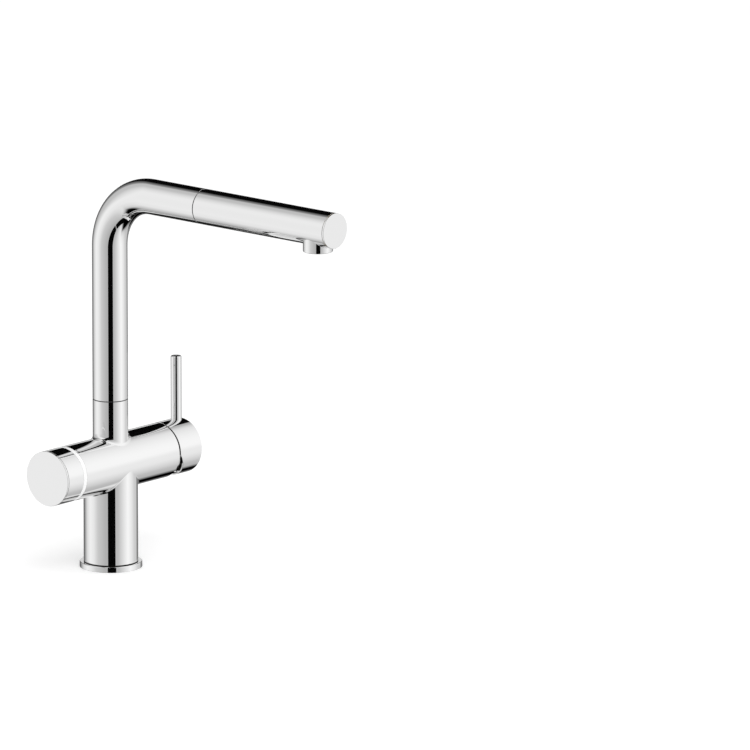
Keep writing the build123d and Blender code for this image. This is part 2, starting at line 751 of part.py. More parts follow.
# Mixer cartridge: base plate with its ports, and case with the neck that guides the stem
with BuildPart() as mixer_cartridge_base:
    disc(rightward(mixer_floor), case_r, cartridge_base)
    drill(rightward(mixer_floor), cartridge_ports, seal_r + seat_gap, port_seal_height)
    drill(rightward(mixer_floor), cartridge_ports, waterway_r, cartridge_base)
save(mixer_cartridge_base.part, "mixer_cartridge_base")
with BuildPart() as mixer_cartridge_case:
    disc(rightward(fixed_disc_start), case_r, case_end - fixed_disc_start, bore=case_bore_r)
    disc(rightward(case_shoulder), case_r, cartridge_wall, bore=case_neck_bore_r)
    guide_neck = barrel_right + cartridge_neck - case_shoulder
    disc(rightward(case_shoulder), case_neck_r, guide_neck, bore=case_neck_bore_r)
save(mixer_cartridge_case.part, "mixer_cartridge_case")

# Ceramic discs of the mixer: the moving one rests low, with its ports closed
with BuildPart() as fixed_ceramic_disc:
    disc(rightward(fixed_disc_start), case_bore_r - seat_gap, fixed_disc_thickness)
    disc_ports = [(disc_port_place, 0), (-disc_port_place, 0), (0, -disc_port_place)]
    drill(rightward(fixed_disc_start), disc_ports, disc_port_dia / 2, fixed_disc_thickness)
save(fixed_ceramic_disc.part, "fixed_ceramic_disc")
with BuildPart() as moving_ceramic_disc:
    disc(rightward(moving_disc_start, disc_drop), moving_disc_r, moving_disc_thickness)
    with BuildSketch(rightward(moving_disc_start)) as pocket_outline:
        with Locations((0, -disc_pocket_drop)):
            SlotOverall(disc_pocket_width, disc_pocket_width / 2)
    extrude(pocket_outline.sketch, amount=disc_pocket_depth, mode=Mode.SUBTRACT)
save(moving_ceramic_disc.part, "moving_ceramic_disc")

# Driver on the moving disc, whose socket takes the ball end of the stem
with BuildPart() as disc_driver:
    disc(rightward(driver_start, disc_drop), driver_r, driver_plate)
    disc(rightward(driver_start, disc_drop), driver_boss_dia / 2, driver_top - driver_start)
    socket = rightward(socket_floor, disc_drop)
    disc(socket, ball_r + running_gap, driver_top - socket_floor, mode=Mode.SUBTRACT)
save(disc_driver.part, "disc_driver")

# Stem carrier that turns in the case's neck, slotted for the stem and bored for the pivot pin
pivot_pin_r = pivot_pin_dia / 2
slot_reach = stem_depth / 2 * cos(radians(half_lift)) + stem_flat * sin(radians(half_lift))
with BuildPart() as stem_carrier:
    disc(rightward(guide_start), guide_flange_r, guide_flange)
    disc(rightward(guide_start), guide_r, guide_flange + guide_length)
    with BuildSketch(rightward(guide_start)) as slot:
        Rectangle(stem_width + 2 * running_gap, 2 * (slot_reach + cover_gap))
    extrude(slot.sketch, amount=guide_flange + guide_length, mode=Mode.SUBTRACT)
    disc(rearward(-guide_r), pivot_pin_r + seat_gap, 2 * guide_r, mode=Mode.SUBTRACT)
save(stem_carrier.part, "stem_carrier")
with BuildPart() as stem_pivot_pin:
    pin_half = guide_r - pivot_pin_inset
    disc(rearward(-pin_half), pivot_pin_r, 2 * pin_half)
save(stem_pivot_pin.part, "stem_pivot_pin")

# Lever stem: ball end, neck, flats on the pivot pin, and the rod that carries the cap
stem_rod_r = stem_rod_dia / 2
stem_rise = tan(radians(half_lift))
rod_middle = barrel_axis + (pin_place - barrel_right) * stem_rise
grub_top = rod_middle - stem_rod_r / cos(radians(half_lift)) + grub_screw_bite
grub_r = grub_screw_dia / 2
with BuildPart() as lever_stem:
    with Locations(along_stem(-stem_arm).origin):
        Sphere(ball_r)
    disc(along_stem(-stem_arm), stem_neck_dia / 2, stem_arm - stem_flat)
    with BuildSketch(along_stem(-stem_flat)) as flats:
        Rectangle(stem_width, stem_depth)
    extrude(flats.sketch, amount=2 * stem_flat)
    disc(along_stem(stem_flat), stem_rod_r, stem_length - stem_flat)
    disc(rearward(-stem_width), pivot_pin_r + running_gap, 2 * stem_width, mode=Mode.SUBTRACT)
    disc(under_pin(grub_top), grub_r + seat_gap, -stem_rod_r, mode=Mode.SUBTRACT)
save(lever_stem.part, "lever_stem")

# Nut that holds the mixer cartridge, with notches for its key
with BuildPart() as cartridge_nut:
    disc(rightward(nut_start), nut_r, nut_skirt, bore=case_r + seat_gap)
    disc(rightward(case_end), nut_r, nut_web, bore=case_neck_r + cover_gap)
    with BuildSketch(rightward(case_end + nut_web)) as notches:
        with PolarLocations((nut_r + case_neck_r + cover_gap) / 2, nut_notches):
            Circle(nut_notch_dia / 2)
    extrude(notches.sketch, amount=-nut_notch_depth, mode=Mode.SUBTRACT)
save(cartridge_nut.part, "cartridge_nut")


def on_dome(radius, reach):
    """A point of the dome's section on a sphere about the lift pivot."""
    return (barrel_right + reach, barrel_axis + sqrt(radius**2 - reach**2))


# Domed cover around the lift pivot, which shows under the lever cap
dome_inner_r = dome_r - dome_wall
dome_inner_reach = dome_reach - dome_wall
skirt_start = barrel_right - dome_skirt
skirt_inner = barrel_axis + dome_skirt_r
skirt_outer = skirt_inner + dome_wall
opening_edge = barrel_axis + dome_opening_r
with BuildPart() as dome_cover:
    with BuildSketch(Plane.XZ) as dome_section:
        with BuildLine():
            Polyline(
                on_dome(dome_inner_r, dome_wall),
                (barrel_right + dome_wall, skirt_inner),
                (skirt_start, skirt_inner),
                (skirt_start, skirt_outer),
                (barrel_right, skirt_outer),
                on_dome(dome_r, 0),
            )
            ThreePointArc(
                on_dome(dome_r, 0), on_dome(dome_r, dome_reach / 2), on_dome(dome_r, dome_reach)
            )
            Polyline(
                on_dome(dome_r, dome_reach),
                (barrel_right + dome_reach, opening_edge),
                (barrel_right + dome_inner_reach, opening_edge),
                on_dome(dome_inner_r, dome_inner_reach),
            )
            ThreePointArc(
                on_dome(dome_inner_r, dome_inner_reach),
                on_dome(dome_inner_r, dome_reach / 2),
                on_dome(dome_inner_r, dome_wall),
            )
        make_face()
    revolve(dome_section.sketch, axis=barrel_line)
save(dome_cover.part, "dome_cover")

# Lever cap: shell cut away under the axis, hub on the tilted stem and boss for the pin
lever_start = barrel_right + lever_seam
lever_end = lever_start + cap_length
lever_face = lever_end - cap_face_wall
cap_bore_r = barrel_r - cap_wall
pin_r = pin_dia / 2
pin_thread_r = pin_thread_dia / 2
pin_seat = barrel_axis + barrel_r - pin_seat_depth
cut_shift = barrel_dia * tan(radians(cap_cut_angle))
with BuildPart() as lever_cap:
    disc(along_stem(hub_start), hub_r, cap_length)
    disc(rightward(lever_face), barrel_dia, cap_length, mode=Mode.SUBTRACT)
    disc(under_pin(rod_middle), pin_boss_dia / 2, pin_seat - rod_middle)
    disc(rightward(lever_start), barrel_r, lever_face - lever_start, bore=cap_bore_r)
    disc(rightward(lever_face), barrel_r, cap_face_wall)
    fillet(rim(lever_cap.part, Axis.X, barrel_r), face_edge)
    with BuildSketch(Plane.XZ) as cut_away:
        with BuildLine():
            Polyline(
                (lever_start, barrel_axis),
                (lever_start + cut_shift, barrel_axis - barrel_dia),
                (lever_start - lever_seam, barrel_axis - barrel_dia),
                (lever_start - lever_seam, barrel_axis),
                close=True,
            )
        make_face()
    extrude(cut_away.sketch, amount=barrel_dia, both=True, mode=Mode.SUBTRACT)
    rod_depth = stem_length - hub_start + seat_gap
    disc(along_stem(hub_start), stem_rod_r + seat_gap, rod_depth, mode=Mode.SUBTRACT)
    thread_depth = pin_thread_length + cover_gap
    disc(under_pin(pin_seat), pin_thread_r + seat_gap, -thread_depth, mode=Mode.SUBTRACT)
    disc(under_pin(pin_seat), pin_r + seat_gap, barrel_r, mode=Mode.SUBTRACT)
    disc(under_pin(rod_middle), grub_r + seat_gap, -2 * hub_r, mode=Mode.SUBTRACT)
    access = under_pin(barrel_axis - cap_bore_r + cap_wall)
    disc(access, grub_r + cover_gap, -barrel_r, mode=Mode.SUBTRACT)
save(lever_cap.part, "lever_cap")

# Pin lever, screwed into the cap
with BuildPart() as lever_pin:
    disc(under_pin(pin_seat), pin_r, pin_top - pin_seat)
    chamfer(rim(lever_pin.part, Axis.Z, pin_r), pin_edge)
    disc(under_pin(pin_seat), pin_thread_r, -pin_thread_length)
save(lever_pin.part, "lever_pin")

# Grub screw that holds the cap on the stem, reached through the cap's underside
with BuildPart() as cap_grub_screw:
    disc(under_pin(grub_top), grub_r, -grub_screw_length)
    with BuildSketch(under_pin(grub_top - grub_screw_length)) as key_socket:
        RegularPolygon(grub_screw_key / 2, 6, major_radius=False)
    extrude(key_socket.sketch, amount=grub_screw_length / 2, mode=Mode.SUBTRACT)
save(cap_grub_screw.part, "cap_grub_screw")

# Selector cartridge: case, with a groove that leads the outlet to the middle
selector_start = leftward(selector_floor)
with BuildPart() as selector_case:
    disc(selector_start, selector_case_r, case_left_end - selector_floor)
    bore_end = case_left_end - selector_case_roof
    bore_depth = bore_end - selector_fixed_start
    disc(leftward(selector_fixed_start), selector_bore_r, bore_depth, mode=Mode.SUBTRACT)
    disc(leftward(bore_end), spindle_r + running_gap, selector_case_roof, mode=Mode.SUBTRACT)
    drill(selector_start, cartridge_ports, seal_r + seat_gap, port_seal_height)
    drill(selector_start, cartridge_ports, waterway_r, cartridge_base)
    with BuildSketch(leftward(selector_fixed_start)) as outlet_groove:
        with Locations((0, -outlet_drop / 2)):
            SlotCenterToCenter(outlet_drop, disc_port_dia, rotation=90)
    extrude(outlet_groove.sketch, amount=-disc_pocket_depth, mode=Mode.SUBTRACT)
save(selector_case.part, "selector_case")

# Ceramic discs of the selector: the outlet is in the middle, and the turning disc rests closed
with BuildPart() as selector_fixed_disc:
    disc(leftward(selector_fixed_start), selector_bore_r - seat_gap, selector_disc_thickness)
    selector_ports = [(selector_port_place, 0), (-selector_port_place, 0), (0, 0)]
    fixed_face = leftward(selector_fixed_start)
    drill(fixed_face, selector_ports, disc_port_dia / 2, selector_disc_thickness)
save(selector_fixed_disc.part, "selector_fixed_disc")
with BuildPart() as selector_turning_disc:
    turning_face = leftward(selector_turning_start)
    disc(turning_face, selector_bore_r - cover_gap, selector_disc_thickness)
    with BuildSketch(turning_face) as turning_pocket:
        with Locations((0, -selector_port_place / 2)):
            SlotCenterToCenter(selector_port_place, disc_port_dia, rotation=90)
    extrude(turning_pocket.sketch, amount=turning_pocket_depth, mode=Mode.SUBTRACT)
    with BuildSketch(leftward(spindle_start)) as tongue_groove:
        Rectangle(2 * selector_case_r, drive_tongue_width + 2 * seat_gap)
    extrude(tongue_groove.sketch, amount=-drive_tongue, mode=Mode.SUBTRACT)
save(selector_turning_disc.part, "selector_turning_disc")


def spline_outline(plane, gap):
    """The toothed section shared by the spindle's end and the knob's hub, grown by a gap."""
    with BuildSketch(plane) as outline:
        Circle(spline_r - spline_depth + gap)
        with PolarLocations(0, spline_teeth):
            tooth = (spline_r + gap, spline_tooth + 2 * gap)
            Rectangle(*tooth, align=(Align.MIN, Align.CENTER))
    return outline.sketch


# Selector spindle: drive plate with its tongue, shaft with the seal's groove, and splined end
spindle_seal_place = case_left_end - selector_case_roof / 2
spindle_seal_r = spindle_r + running_gap - seat_gap - o_ring_cord / 2
spindle_groove_floor = spindle_seal_r - o_ring_cord / 2 - seat_gap
screw_r = knob_screw_dia / 2
with BuildPart() as selector_spindle:
    disc(leftward(spindle_start), spindle_plate_r, spindle_plate)
    with BuildSketch(leftward(spindle_start)) as tongue:
        Rectangle(drive_tongue_length, drive_tongue_width)
    extrude(tongue.sketch, amount=-(drive_tongue - seat_gap))
    disc(leftward(spindle_start), spindle_r, spline_start - spindle_start)
    extrude(spline_outline(leftward(spline_start), 0), amount=spline_end - spline_start)
    groove = leftward(spindle_seal_place - groove_width / 2)
    disc(groove, 2 * spindle_plate_r, groove_width, bore=spindle_groove_floor, mode=Mode.SUBTRACT)
    disc(leftward(spline_end), screw_r + seat_gap, -knob_screw_length, mode=Mode.SUBTRACT)
save(selector_spindle.part, "selector_spindle")
with BuildPart() as spindle_o_ring:
    o_ring(leftward(spindle_seal_place), spindle_seal_r, o_ring_cord)
save(spindle_o_ring.part, "spindle_o_ring")

# Gland nut that holds the selector cartridge, with a hex recess for its key
with BuildPart() as gland_nut:
    disc(leftward(case_left_end), gland_r, gland_thickness, bore=spindle_r + cover_gap)
    with BuildSketch(leftward(gland_end)) as key_recess:
        RegularPolygon(gland_key_size / 2, 6, major_radius=False)
    extrude(key_recess.sketch, amount=-gland_key_depth, mode=Mode.SUBTRACT)
save(gland_nut.part, "gland_nut")

# White ring between the barrel and the knob
with BuildPart() as white_ring:
    ring_bore = ring_spigot_r + seat_gap
    disc(leftward(barrel_left), barrel_r, white_ring_width, bore=ring_bore)
    chamfer(rim(white_ring.part, Axis.X, barrel_r), seam_edge)
    chamfer(rim(white_ring.part, Axis.X, barrel_r, last=False), seam_edge)
save(white_ring.part, "white_ring")

# Selector knob: shell, web and splined hub
knob_bore_r = barrel_r - knob_wall
hub_start_place = knob_start + knob_hub_place
with BuildPart() as selector_knob:
    disc(leftward(knob_start), barrel_r, knob_length, bore=knob_bore_r)
    disc(leftward(knob_web_start), barrel_r - knob_wall / 2, knob_web)
    disc(leftward(hub_start_place), knob_hub_dia / 2, knob_web_start - hub_start_place)
    hub_bore = spline_outline(leftward(hub_start_place), seat_gap)
    extrude(hub_bore, amount=knob_web_start - hub_start_place, mode=Mode.SUBTRACT)
    disc(leftward(knob_web_start), screw_r + running_gap, knob_web, mode=Mode.SUBTRACT)
    chamfer(rim(selector_knob.part, Axis.X, barrel_r), seam_edge)
    chamfer(rim(selector_knob.part, Axis.X, barrel_r, last=False), seam_edge)
save(selector_knob.part, "selector_knob")

# Screw that holds the knob on the spindle
knob_web_end = knob_web_start + knob_web
with BuildPart() as knob_screw:
    disc(leftward(knob_web_end), knob_screw_head_dia / 2, knob_screw_head)
    disc(leftward(knob_web_end), screw_r, -knob_screw_length)
    with BuildSketch(leftward(knob_web_end + knob_screw_head)) as screw_key:
        RegularPolygon(knob_screw_key / 2, 6, major_radius=False)
    extrude(screw_key.sketch, amount=-knob_screw_head / 2, mode=Mode.SUBTRACT)
save(knob_screw.part, "knob_screw")

# Flat face disc pressed into the knob's end
with BuildPart() as knob_face:
    disc(leftward(knob_end), barrel_r, face_thickness)
    face_spigot_r = knob_bore_r - seat_gap
    spigot_bore = face_spigot_r - knob_wall
    disc(leftward(knob_end), face_spigot_r, -knob_face_spigot, bore=spigot_bore)
    fillet(rim(knob_face.part, Axis.X, barrel_r, last=False), face_edge)
    chamfer(rim(knob_face.part, Axis.X, barrel_r), seam_edge)
save(knob_face.part, "knob_face")
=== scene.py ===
"""Smooth outer pieces, finishes and studio for a chrome kitchen mixer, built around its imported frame."""

import json
import math

import bpy
import numpy as np
from mathutils import Matrix, Vector
from mathutils.geometry import delaunay_2d_cdt


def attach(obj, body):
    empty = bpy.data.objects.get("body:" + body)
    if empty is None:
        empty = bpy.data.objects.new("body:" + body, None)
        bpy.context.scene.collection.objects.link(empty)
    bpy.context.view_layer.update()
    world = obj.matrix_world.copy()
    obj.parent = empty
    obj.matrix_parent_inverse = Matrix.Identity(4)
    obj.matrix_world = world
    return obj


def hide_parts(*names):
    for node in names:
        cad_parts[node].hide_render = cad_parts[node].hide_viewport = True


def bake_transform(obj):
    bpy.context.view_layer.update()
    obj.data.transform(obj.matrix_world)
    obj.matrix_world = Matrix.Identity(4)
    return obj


bl_info = {
    "name": "Kitchen Mixer Builder",
    "version": (1, 0, 0),
    "blender": (4, 5, 0),
    "location": "3D View > Sidebar > Mixer",
    "description": "Builds the chrome shells, hose, aerator, finishes and studio of a kitchen mixer",
    "category": "Object",
}

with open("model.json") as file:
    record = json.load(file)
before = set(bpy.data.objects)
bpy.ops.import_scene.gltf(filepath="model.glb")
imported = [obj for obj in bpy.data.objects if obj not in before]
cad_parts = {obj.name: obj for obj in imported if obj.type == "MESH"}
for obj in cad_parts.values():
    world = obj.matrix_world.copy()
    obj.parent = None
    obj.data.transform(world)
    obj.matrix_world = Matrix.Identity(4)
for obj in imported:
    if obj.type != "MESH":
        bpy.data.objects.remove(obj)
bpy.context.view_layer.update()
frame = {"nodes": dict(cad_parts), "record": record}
MM = 0.001

# Places of the solids, in millimetres: the riser stands on the origin and the arm runs towards -Y.
BARREL_LEVEL = 97.0
ARM_LEVEL = 353.5
COLUMN_R = 25.0
BARREL_R = 25.4
TUBE_R = 16.25
TUBE_BORE_R = 14.75
FLANGE_R = 28.75
FLANGE_TOP = 5.2
FLANGE_BORE_R = 20.47
SEAL_INNER_R = 23.15
SEAL_OUTER_R = 26.15
SEAL_GROOVE = 1.6
LIP_R = 21.47
LIP_TOP = 7.7
CHAMBER_R = 21.5
BARREL_LEFT = 59.8
BARREL_RIGHT = 66.9
MOUTH_R = 22.13
RING_SPIGOT_R = 20.9
RING_END = 64.1
RING_BORE_R = 20.93
KNOB_START = 64.3
KNOB_END = 84.3
KNOB_BORE_R = 23.4
KNOB_FACE_END = 86.1
SWIVEL_LEVEL = 157.2
NECK_SOCKET_R = 13.5
TUBE_FOOT = 158.0
BEND_R = 52.5
ARM_END = 115.3
SCREW_LEVEL = 178.5
SCREW_HOLE_R = 2.03
HEAD_START = 116.1
HEAD_FACE = 271.8
HEAD_END = 273.6
NOZZLE_PLACE = 252.9
NOZZLE_R = 13.65
NOZZLE_BORE_R = 11.5
NOZZLE_FOOT = 332.0
AERATOR_FOOT = 332.9
AERATOR_R = 11.47
AERATOR_HEIGHT = 10.4
AERATOR_PLATE = 2.0
AERATOR_HOLLOW_R = 10.07
JET_HOLE_R = 2.33
JET_BOSS_R = 3.7
JET_R = 2.3
JET_BORE_R = 1.5
JET_FOOT = 332.6
JET_TOP = 347.0
LEVER_START = 67.9
LEVER_END = 97.2
LEVER_BORE_R = 24.3
LEVER_FACE = 95.4
CUT_ANGLE = math.radians(27.0)
DOME_R = 24.0
DOME_REACH = 13.0
DOME_WALL = 1.2
DOME_SKIRT = 2.5
DOME_SKIRT_R = 20.9
DOME_OPENING_R = 12.6
PIN_PLACE = 90.2
PIN_SEAT = 121.6
PIN_TOP = 182.0
PIN_R = 5.0
GRUB_HOLE_R = 2.8
HOSE_SPLIT = 54.5
HOSE_END = 93.0
HOSE_R = 6.5
HOSE_BORE_R = 4.3
INNER_TUBE_R = 2.6
INNER_TUBE_BORE_R = 1.9
PULL_OUT = 300.0

# Shadow lines between pieces that touch: real grooves whose hidden faces, like the dome's seam band, are painted dark
# as shade.
GROOVE_DEPTH = 0.6
FOOT_GROOVE = 0.75
FACE_GROOVE = 0.15
LEVER_GROOVE = 0.25
SEAM_BAND = 1.1

# Roundings and fine shapes, in millimetres.
BARREL_EDGE = 0.3
MOUTH_EDGE = 0.1
DOME_SEAT_R = 24.2
FLANGE_EDGE = 0.7
NOZZLE_EDGE = 0.7
NOZZLE_INNER_EDGE = 0.2
PIN_CHAMFER = 0.6
PIN_EDGE = 0.35
SPRAY_RING = 4.9
SPRAY_RING_STEP = 2.0
PLATE_OVERLAP = 0.02

# Painted shade: the lever's bore is painted dark above this sine, and the dome's foot keeps its chrome between these
# shares of a turn and is painted dark elsewhere, in the slot's shade.
BORE_SHADE_SINE = -0.58
DOME_LIT = (0.6, 0.9)

TURN = 2 * math.pi
HOLE_STEPS = 32
HOLE_TURNS = np.linspace(0, TURN, HOLE_STEPS + 1)[:-1]
BEND_STEPS = 48
ARM_STEPS = 8
HOSE_ROWS = 240
HOSE_AROUND = 48
NEAR = 0.01
SMOOTH_COSINE = 0.82
WELD_STEP = 0.0012347
WELD_SHIFT = 0.3137
WELD_DISTANCE = 0.000002


def length(name, description, default, low, high):
    """A length among the settings, in metres."""
    return bpy.props.FloatProperty(
        name=name, description=description, default=default, min=low, max=high,
        precision=5, subtype="DISTANCE", unit="LENGTH",
    )


def colour(name, description, *default):
    """A colour among the settings."""
    return bpy.props.FloatVectorProperty(
        name=name, description=description, default=default, min=0, max=1, subtype="COLOR",
    )


class MixerSizes(bpy.types.PropertyGroup):
    """Sizes of the fine shapes that the solids leave plain."""

    edge_round: length("Seam edge", "Rounding of the edges along the seams", 0.00016, 0.00005, 0.0003)
    face_round: length("End face edge", "Rounding of the edges of the end faces", 0.00034, 0.0001, 0.0008)
    column_fillet: length("Column fillet", "Blend between the column and the barrel", 0.0026, 0.0005, 0.005)
    riser_fillet: length("Riser fillet", "Blend between the riser and the barrel", 0.0048, 0.0005, 0.006)
    nozzle_fillet: length("Nozzle fillet", "Blend between the nozzle and the head", 0.0004, 0.0002, 0.002)
    spray_hole: length("Spray hole", "Diameter of the holes in the aerator's face", 0.0013, 0.0006, 0.0016)
    braid_pitch: length("Braid pitch", "Length of hose in which a strand goes once round", 0.032, 0.01, 0.08)
    braid_strands: bpy.props.IntProperty(
        name="Braid strands", description="Strands that run each way round the hose", default=12, min=6, max=24,
    )
    around: bpy.props.IntProperty(
        name="Steps around", description="Steps round each turned piece", default=144, min=48, max=256,
    )


class MixerFinishes(bpy.types.PropertyGroup):
    """Colours and gloss of the pieces."""

    chrome: colour("Chrome", "Colour of the chrome plate", 0.93, 0.93, 0.93)
    chrome_roughness: bpy.props.FloatProperty(
        name="Chrome roughness", description="Roughness of the polished plate",
        default=0.018, min=0, max=0.3, subtype="FACTOR",
    )
    ring_white: colour("Ring", "Colour of the white ring", 0.97, 0.97, 0.97)
    brass: colour("Brass", "Colour of the bare brass inside", 0.78, 0.58, 0.27)
    steel: colour("Steel", "Colour of the stainless screws and pin", 0.56, 0.56, 0.57)
    braid: colour("Braid", "Colour of the braided hose", 0.20, 0.205, 0.215)


class MixerStudio(bpy.types.PropertyGroup):
    """The floor, the lamp and the reflections of the studio."""

    floor_colour: colour("Floor", "Colour of the floor", 0.97, 0.97, 0.97)
    lamp_power: bpy.props.FloatProperty(
        name="Lamp", description="Power of the soft lamp above the mixer",
        default=30.0, min=0, max=500, subtype="POWER", unit="POWER",
    )
    tent_radius: length("Tent radius", "Radius of the tent that the chrome reflects", 8.0, 2, 20)
    header_distance: length("Header distance", "Distance of the black header behind the mixer", 1.48, 0.8, 4)
    card_distance: length("Card distance", "Distance of the black card in front of the mixer", 4.5, 1, 7)


def millimetres(metres):
    """A length property in millimetres."""
    return metres / MM


def weld_keys(points):
    """Whole numbers that are alike for points that meet."""
    return np.round(points / WELD_STEP + WELD_SHIFT).astype(np.int64)


class Skin:
    """The surface of one piece, gathered patch by patch with the true direction at each corner."""

    def __init__(self):
        self.points, self.normals, self.uvs = [], [], []
        self.faces, self.slots = [], []
        self.count = 0

    def add(self, points, normals, faces, slot=0, uv=None):
        points = np.asarray(points, float).reshape(-1, 3)
        self.points.append(points)
        self.normals.append(np.asarray(normals, float).reshape(-1, 3))
        self.uvs.append(np.zeros((len(points), 2)) if uv is None else np.asarray(uv, float).reshape(-1, 2))
        self.faces.extend([[corner + self.count for corner in face] for face in faces])
        self.slots.extend([slot] * len(faces))
        self.count += len(points)

    def grid(self, points, normals, slot=0, uv=None):
        """Adds rows of points with their normals, which may be given once for every row."""
        rows, columns = points.shape[:2]
        faces = [
            (r * columns + c, r * columns + c + 1, (r + 1) * columns + c + 1, (r + 1) * columns + c)
            for r in range(rows - 1)
            for c in range(columns - 1)
        ]
        self.add(points, np.broadcast_to(normals, points.shape), faces, slot, uv)

    def finish(self, name, materials, with_uv=False):
        """Welds the patches, turns each face outwards and makes the object."""
        points = np.concatenate(self.points)
        normals = np.concatenate(self.normals)
        uvs = np.concatenate(self.uvs)
        _, first, place = np.unique(weld_keys(points), axis=0, return_index=True, return_inverse=True)
        place = place.reshape(-1)
        vertices = points[first]
        faces, corners, slots = [], [], []
        for face, slot in zip(self.faces, self.slots):
            kept, seen = [], set()
            for corner in face:
                if place[corner] not in seen:
                    seen.add(place[corner])
                    kept.append(corner)
            if len(kept) < 3:
                continue
            ring = vertices[place[kept]]
            middle = ring.mean(axis=0)
            way = np.cross(ring - middle, np.roll(ring, -1, axis=0) - middle).sum(axis=0)
            if way @ normals[kept].sum(axis=0) < 0:
                kept = kept[::-1]
            faces.append([int(place[corner]) for corner in kept])
            corners.extend(kept)
            slots.append(slot)
        mesh = bpy.data.meshes.new(name)
        mesh.from_pydata((vertices * MM).tolist(), [], faces)
        for material in materials:
            mesh.materials.append(material)
        mesh.polygons.foreach_set("use_smooth", [True] * len(faces))
        mesh.polygons.foreach_set("material_index", slots)
        if with_uv:
            layer = mesh.uv_layers.new(name="wrap")
            layer.data.foreach_set("uv", uvs[corners].reshape(-1))
        mesh.update()
        mesh.normals_split_custom_set(normals[corners].tolist())
        piece = bpy.data.objects.new(name, mesh)
        bpy.context.scene.collection.objects.link(piece)
        return piece

    def place(self, name, finishes, body, slot, *nodes):
        """Makes the piece with its finishes and rides it on its body."""
        return place_piece(self.finish(name, [finish(kind) for kind in finishes]), body, slot, *nodes)


class Axle:
    """A turning axis with its height and angle directions."""

    def __init__(self, origin, way, right, up):
        self.origin = np.array(origin, float)
        self.way = np.array(way, float)
        self.right = np.array(right, float)
        self.up = np.array(up, float)

    def out(self, angle):
        angle = np.asarray(angle, float)[..., None]
        return np.cos(angle) * self.right + np.sin(angle) * self.up

    def point(self, radius, height, angle):
        radius = np.asarray(radius, float)[..., None]
        height = np.asarray(height, float)[..., None]
        return self.origin + height * self.way + radius * self.out(angle)

    def normal(self, outward, along, angle):
        outward = np.asarray(outward, float)[..., None]
        along = np.asarray(along, float)[..., None]
        return along * self.way + outward * self.out(angle)

    def measure(self, points):
        """How far the points lie from the axis, and along it."""
        away = points - self.origin
        height = away @ self.way
        return np.linalg.norm(away - height[:, None] * self.way, axis=1), height


UPRIGHT = Axle((0, 0, 0), (0, 0, 1), (1, 0, 0), (0, 1, 0))
TO_LEVER = Axle((0, 0, BARREL_LEVEL), (1, 0, 0), (0, 1, 0), (0, 0, 1))
TO_KNOB = Axle((0, 0, BARREL_LEVEL), (-1, 0, 0), (0, -1, 0), (0, 0, 1))
ALONG_ARM = Axle((0, 0, ARM_LEVEL), (0, -1, 0), (1, 0, 0), (0, 0, 1))
AT_NOZZLE = Axle((0, -NOZZLE_PLACE, 0), (0, 0, 1), (1, 0, 0), (0, 1, 0))
AT_PIN = Axle((PIN_PLACE, 0, 0), (0, 0, 1), (1, 0, 0), (0, 1, 0))


def rounded(corners, steps=5):
    """Smooth runs, each a list of (radius, height, outward, along), of a closed outline.

    The corners are (radius, height, rounding), counter-clockwise with the radius to the right.
    """
    count = len(corners)
    places = np.array([corner[:2] for corner in corners], float)
    ways = np.roll(places, -1, axis=0) - places
    ways /= np.linalg.norm(ways, axis=1)[:, None]
    normals = np.column_stack((ways[:, 1], -ways[:, 0]))
    entries, exits, arcs = places.copy(), places.copy(), [[] for _ in corners]
    for i, (_, _, rounding) in enumerate(corners):
        before, after = ways[i - 1], ways[i]
        turn = math.atan2(before[0] * after[1] - before[1] * after[0], before @ after)
        if rounding <= 0 or abs(turn) < 1e-6:
            continue
        reach = rounding * math.tan(abs(turn) / 2)
        entries[i] -= before * reach
        exits[i] += after * reach
        bulge = math.copysign(rounding, turn)
        x, y = normals[i - 1]
        middle = entries[i] - bulge * normals[i - 1]
        for angle in turn * np.arange(steps + 1) / steps:
            cosine, sine = math.cos(angle), math.sin(angle)
            way = np.array((x * cosine - y * sine, x * sine + y * cosine))
            arcs[i].append((*(middle + bulge * way), *way))
    runs = []
    for i, arc in enumerate(arcs):
        if arc:
            runs.append(arc)
        start, end = exits[i], entries[(i + 1) % count]
        if np.linalg.norm(end - start) > 1e-9 and max(start[0], end[0]) > 1e-9:
            runs.append([(*start, *normals[i]), (*end, *normals[i])])
    return runs


def circle_steps(count, start=0.0):
    """Angles all the way round, with the first repeated at the end."""
    return start + TURN * np.arange(count + 1) / count


def turned(skin, axle, runs, angles, slot=0):
    """Turns smooth runs round an axle."""
    for run in runs:
        radius, height, outward, along = np.array(run, float).T[..., None]
        skin.grid(axle.point(radius, height, angles), axle.normal(outward, along, angles), slot)


def end_face(skin, axle, bore, radius, level, edge, angles, slot=0, side=1):
    """A tube's flat end with its rounded outer edge. The side is 1 at its far end, -1 at its near end."""
    outline = [(bore, level - side, 0), (radius, level - side, 0), (radius, level, edge), (bore, level, 0)]
    runs = rounded(outline[::side])
    turned(skin, axle, [runs[2 if side > 0 else 1]], angles)
    turned(skin, axle, [runs[3 if side > 0 else 0]], angles, slot)


def inside(axle, end, start=-math.inf, radius=math.inf):
    """A test for points between two heights of an axle and within a radius."""
    def test(points):
        from_axis, height = axle.measure(points)
        return (from_axis < radius) & (height > start) & (height < end)
    return test


def rim_hole(points, side):
    """The hole that a saddle leaves in the large tube, as a loop of (height, angle)."""
    along, across, up = points[-1][:-1].T
    turn = np.arctan2(up, across)
    return np.column_stack((along, np.where((side < 0) & (turn > 0), turn - TURN, turn)))


def hole_wall(skin, rims, ways):
    """The wall of a round hole between its outer and its inner rim."""
    ring = np.r_[0:HOLE_STEPS, 0]
    skin.grid(np.stack([rim[ring] for rim in rims]), ways[ring])


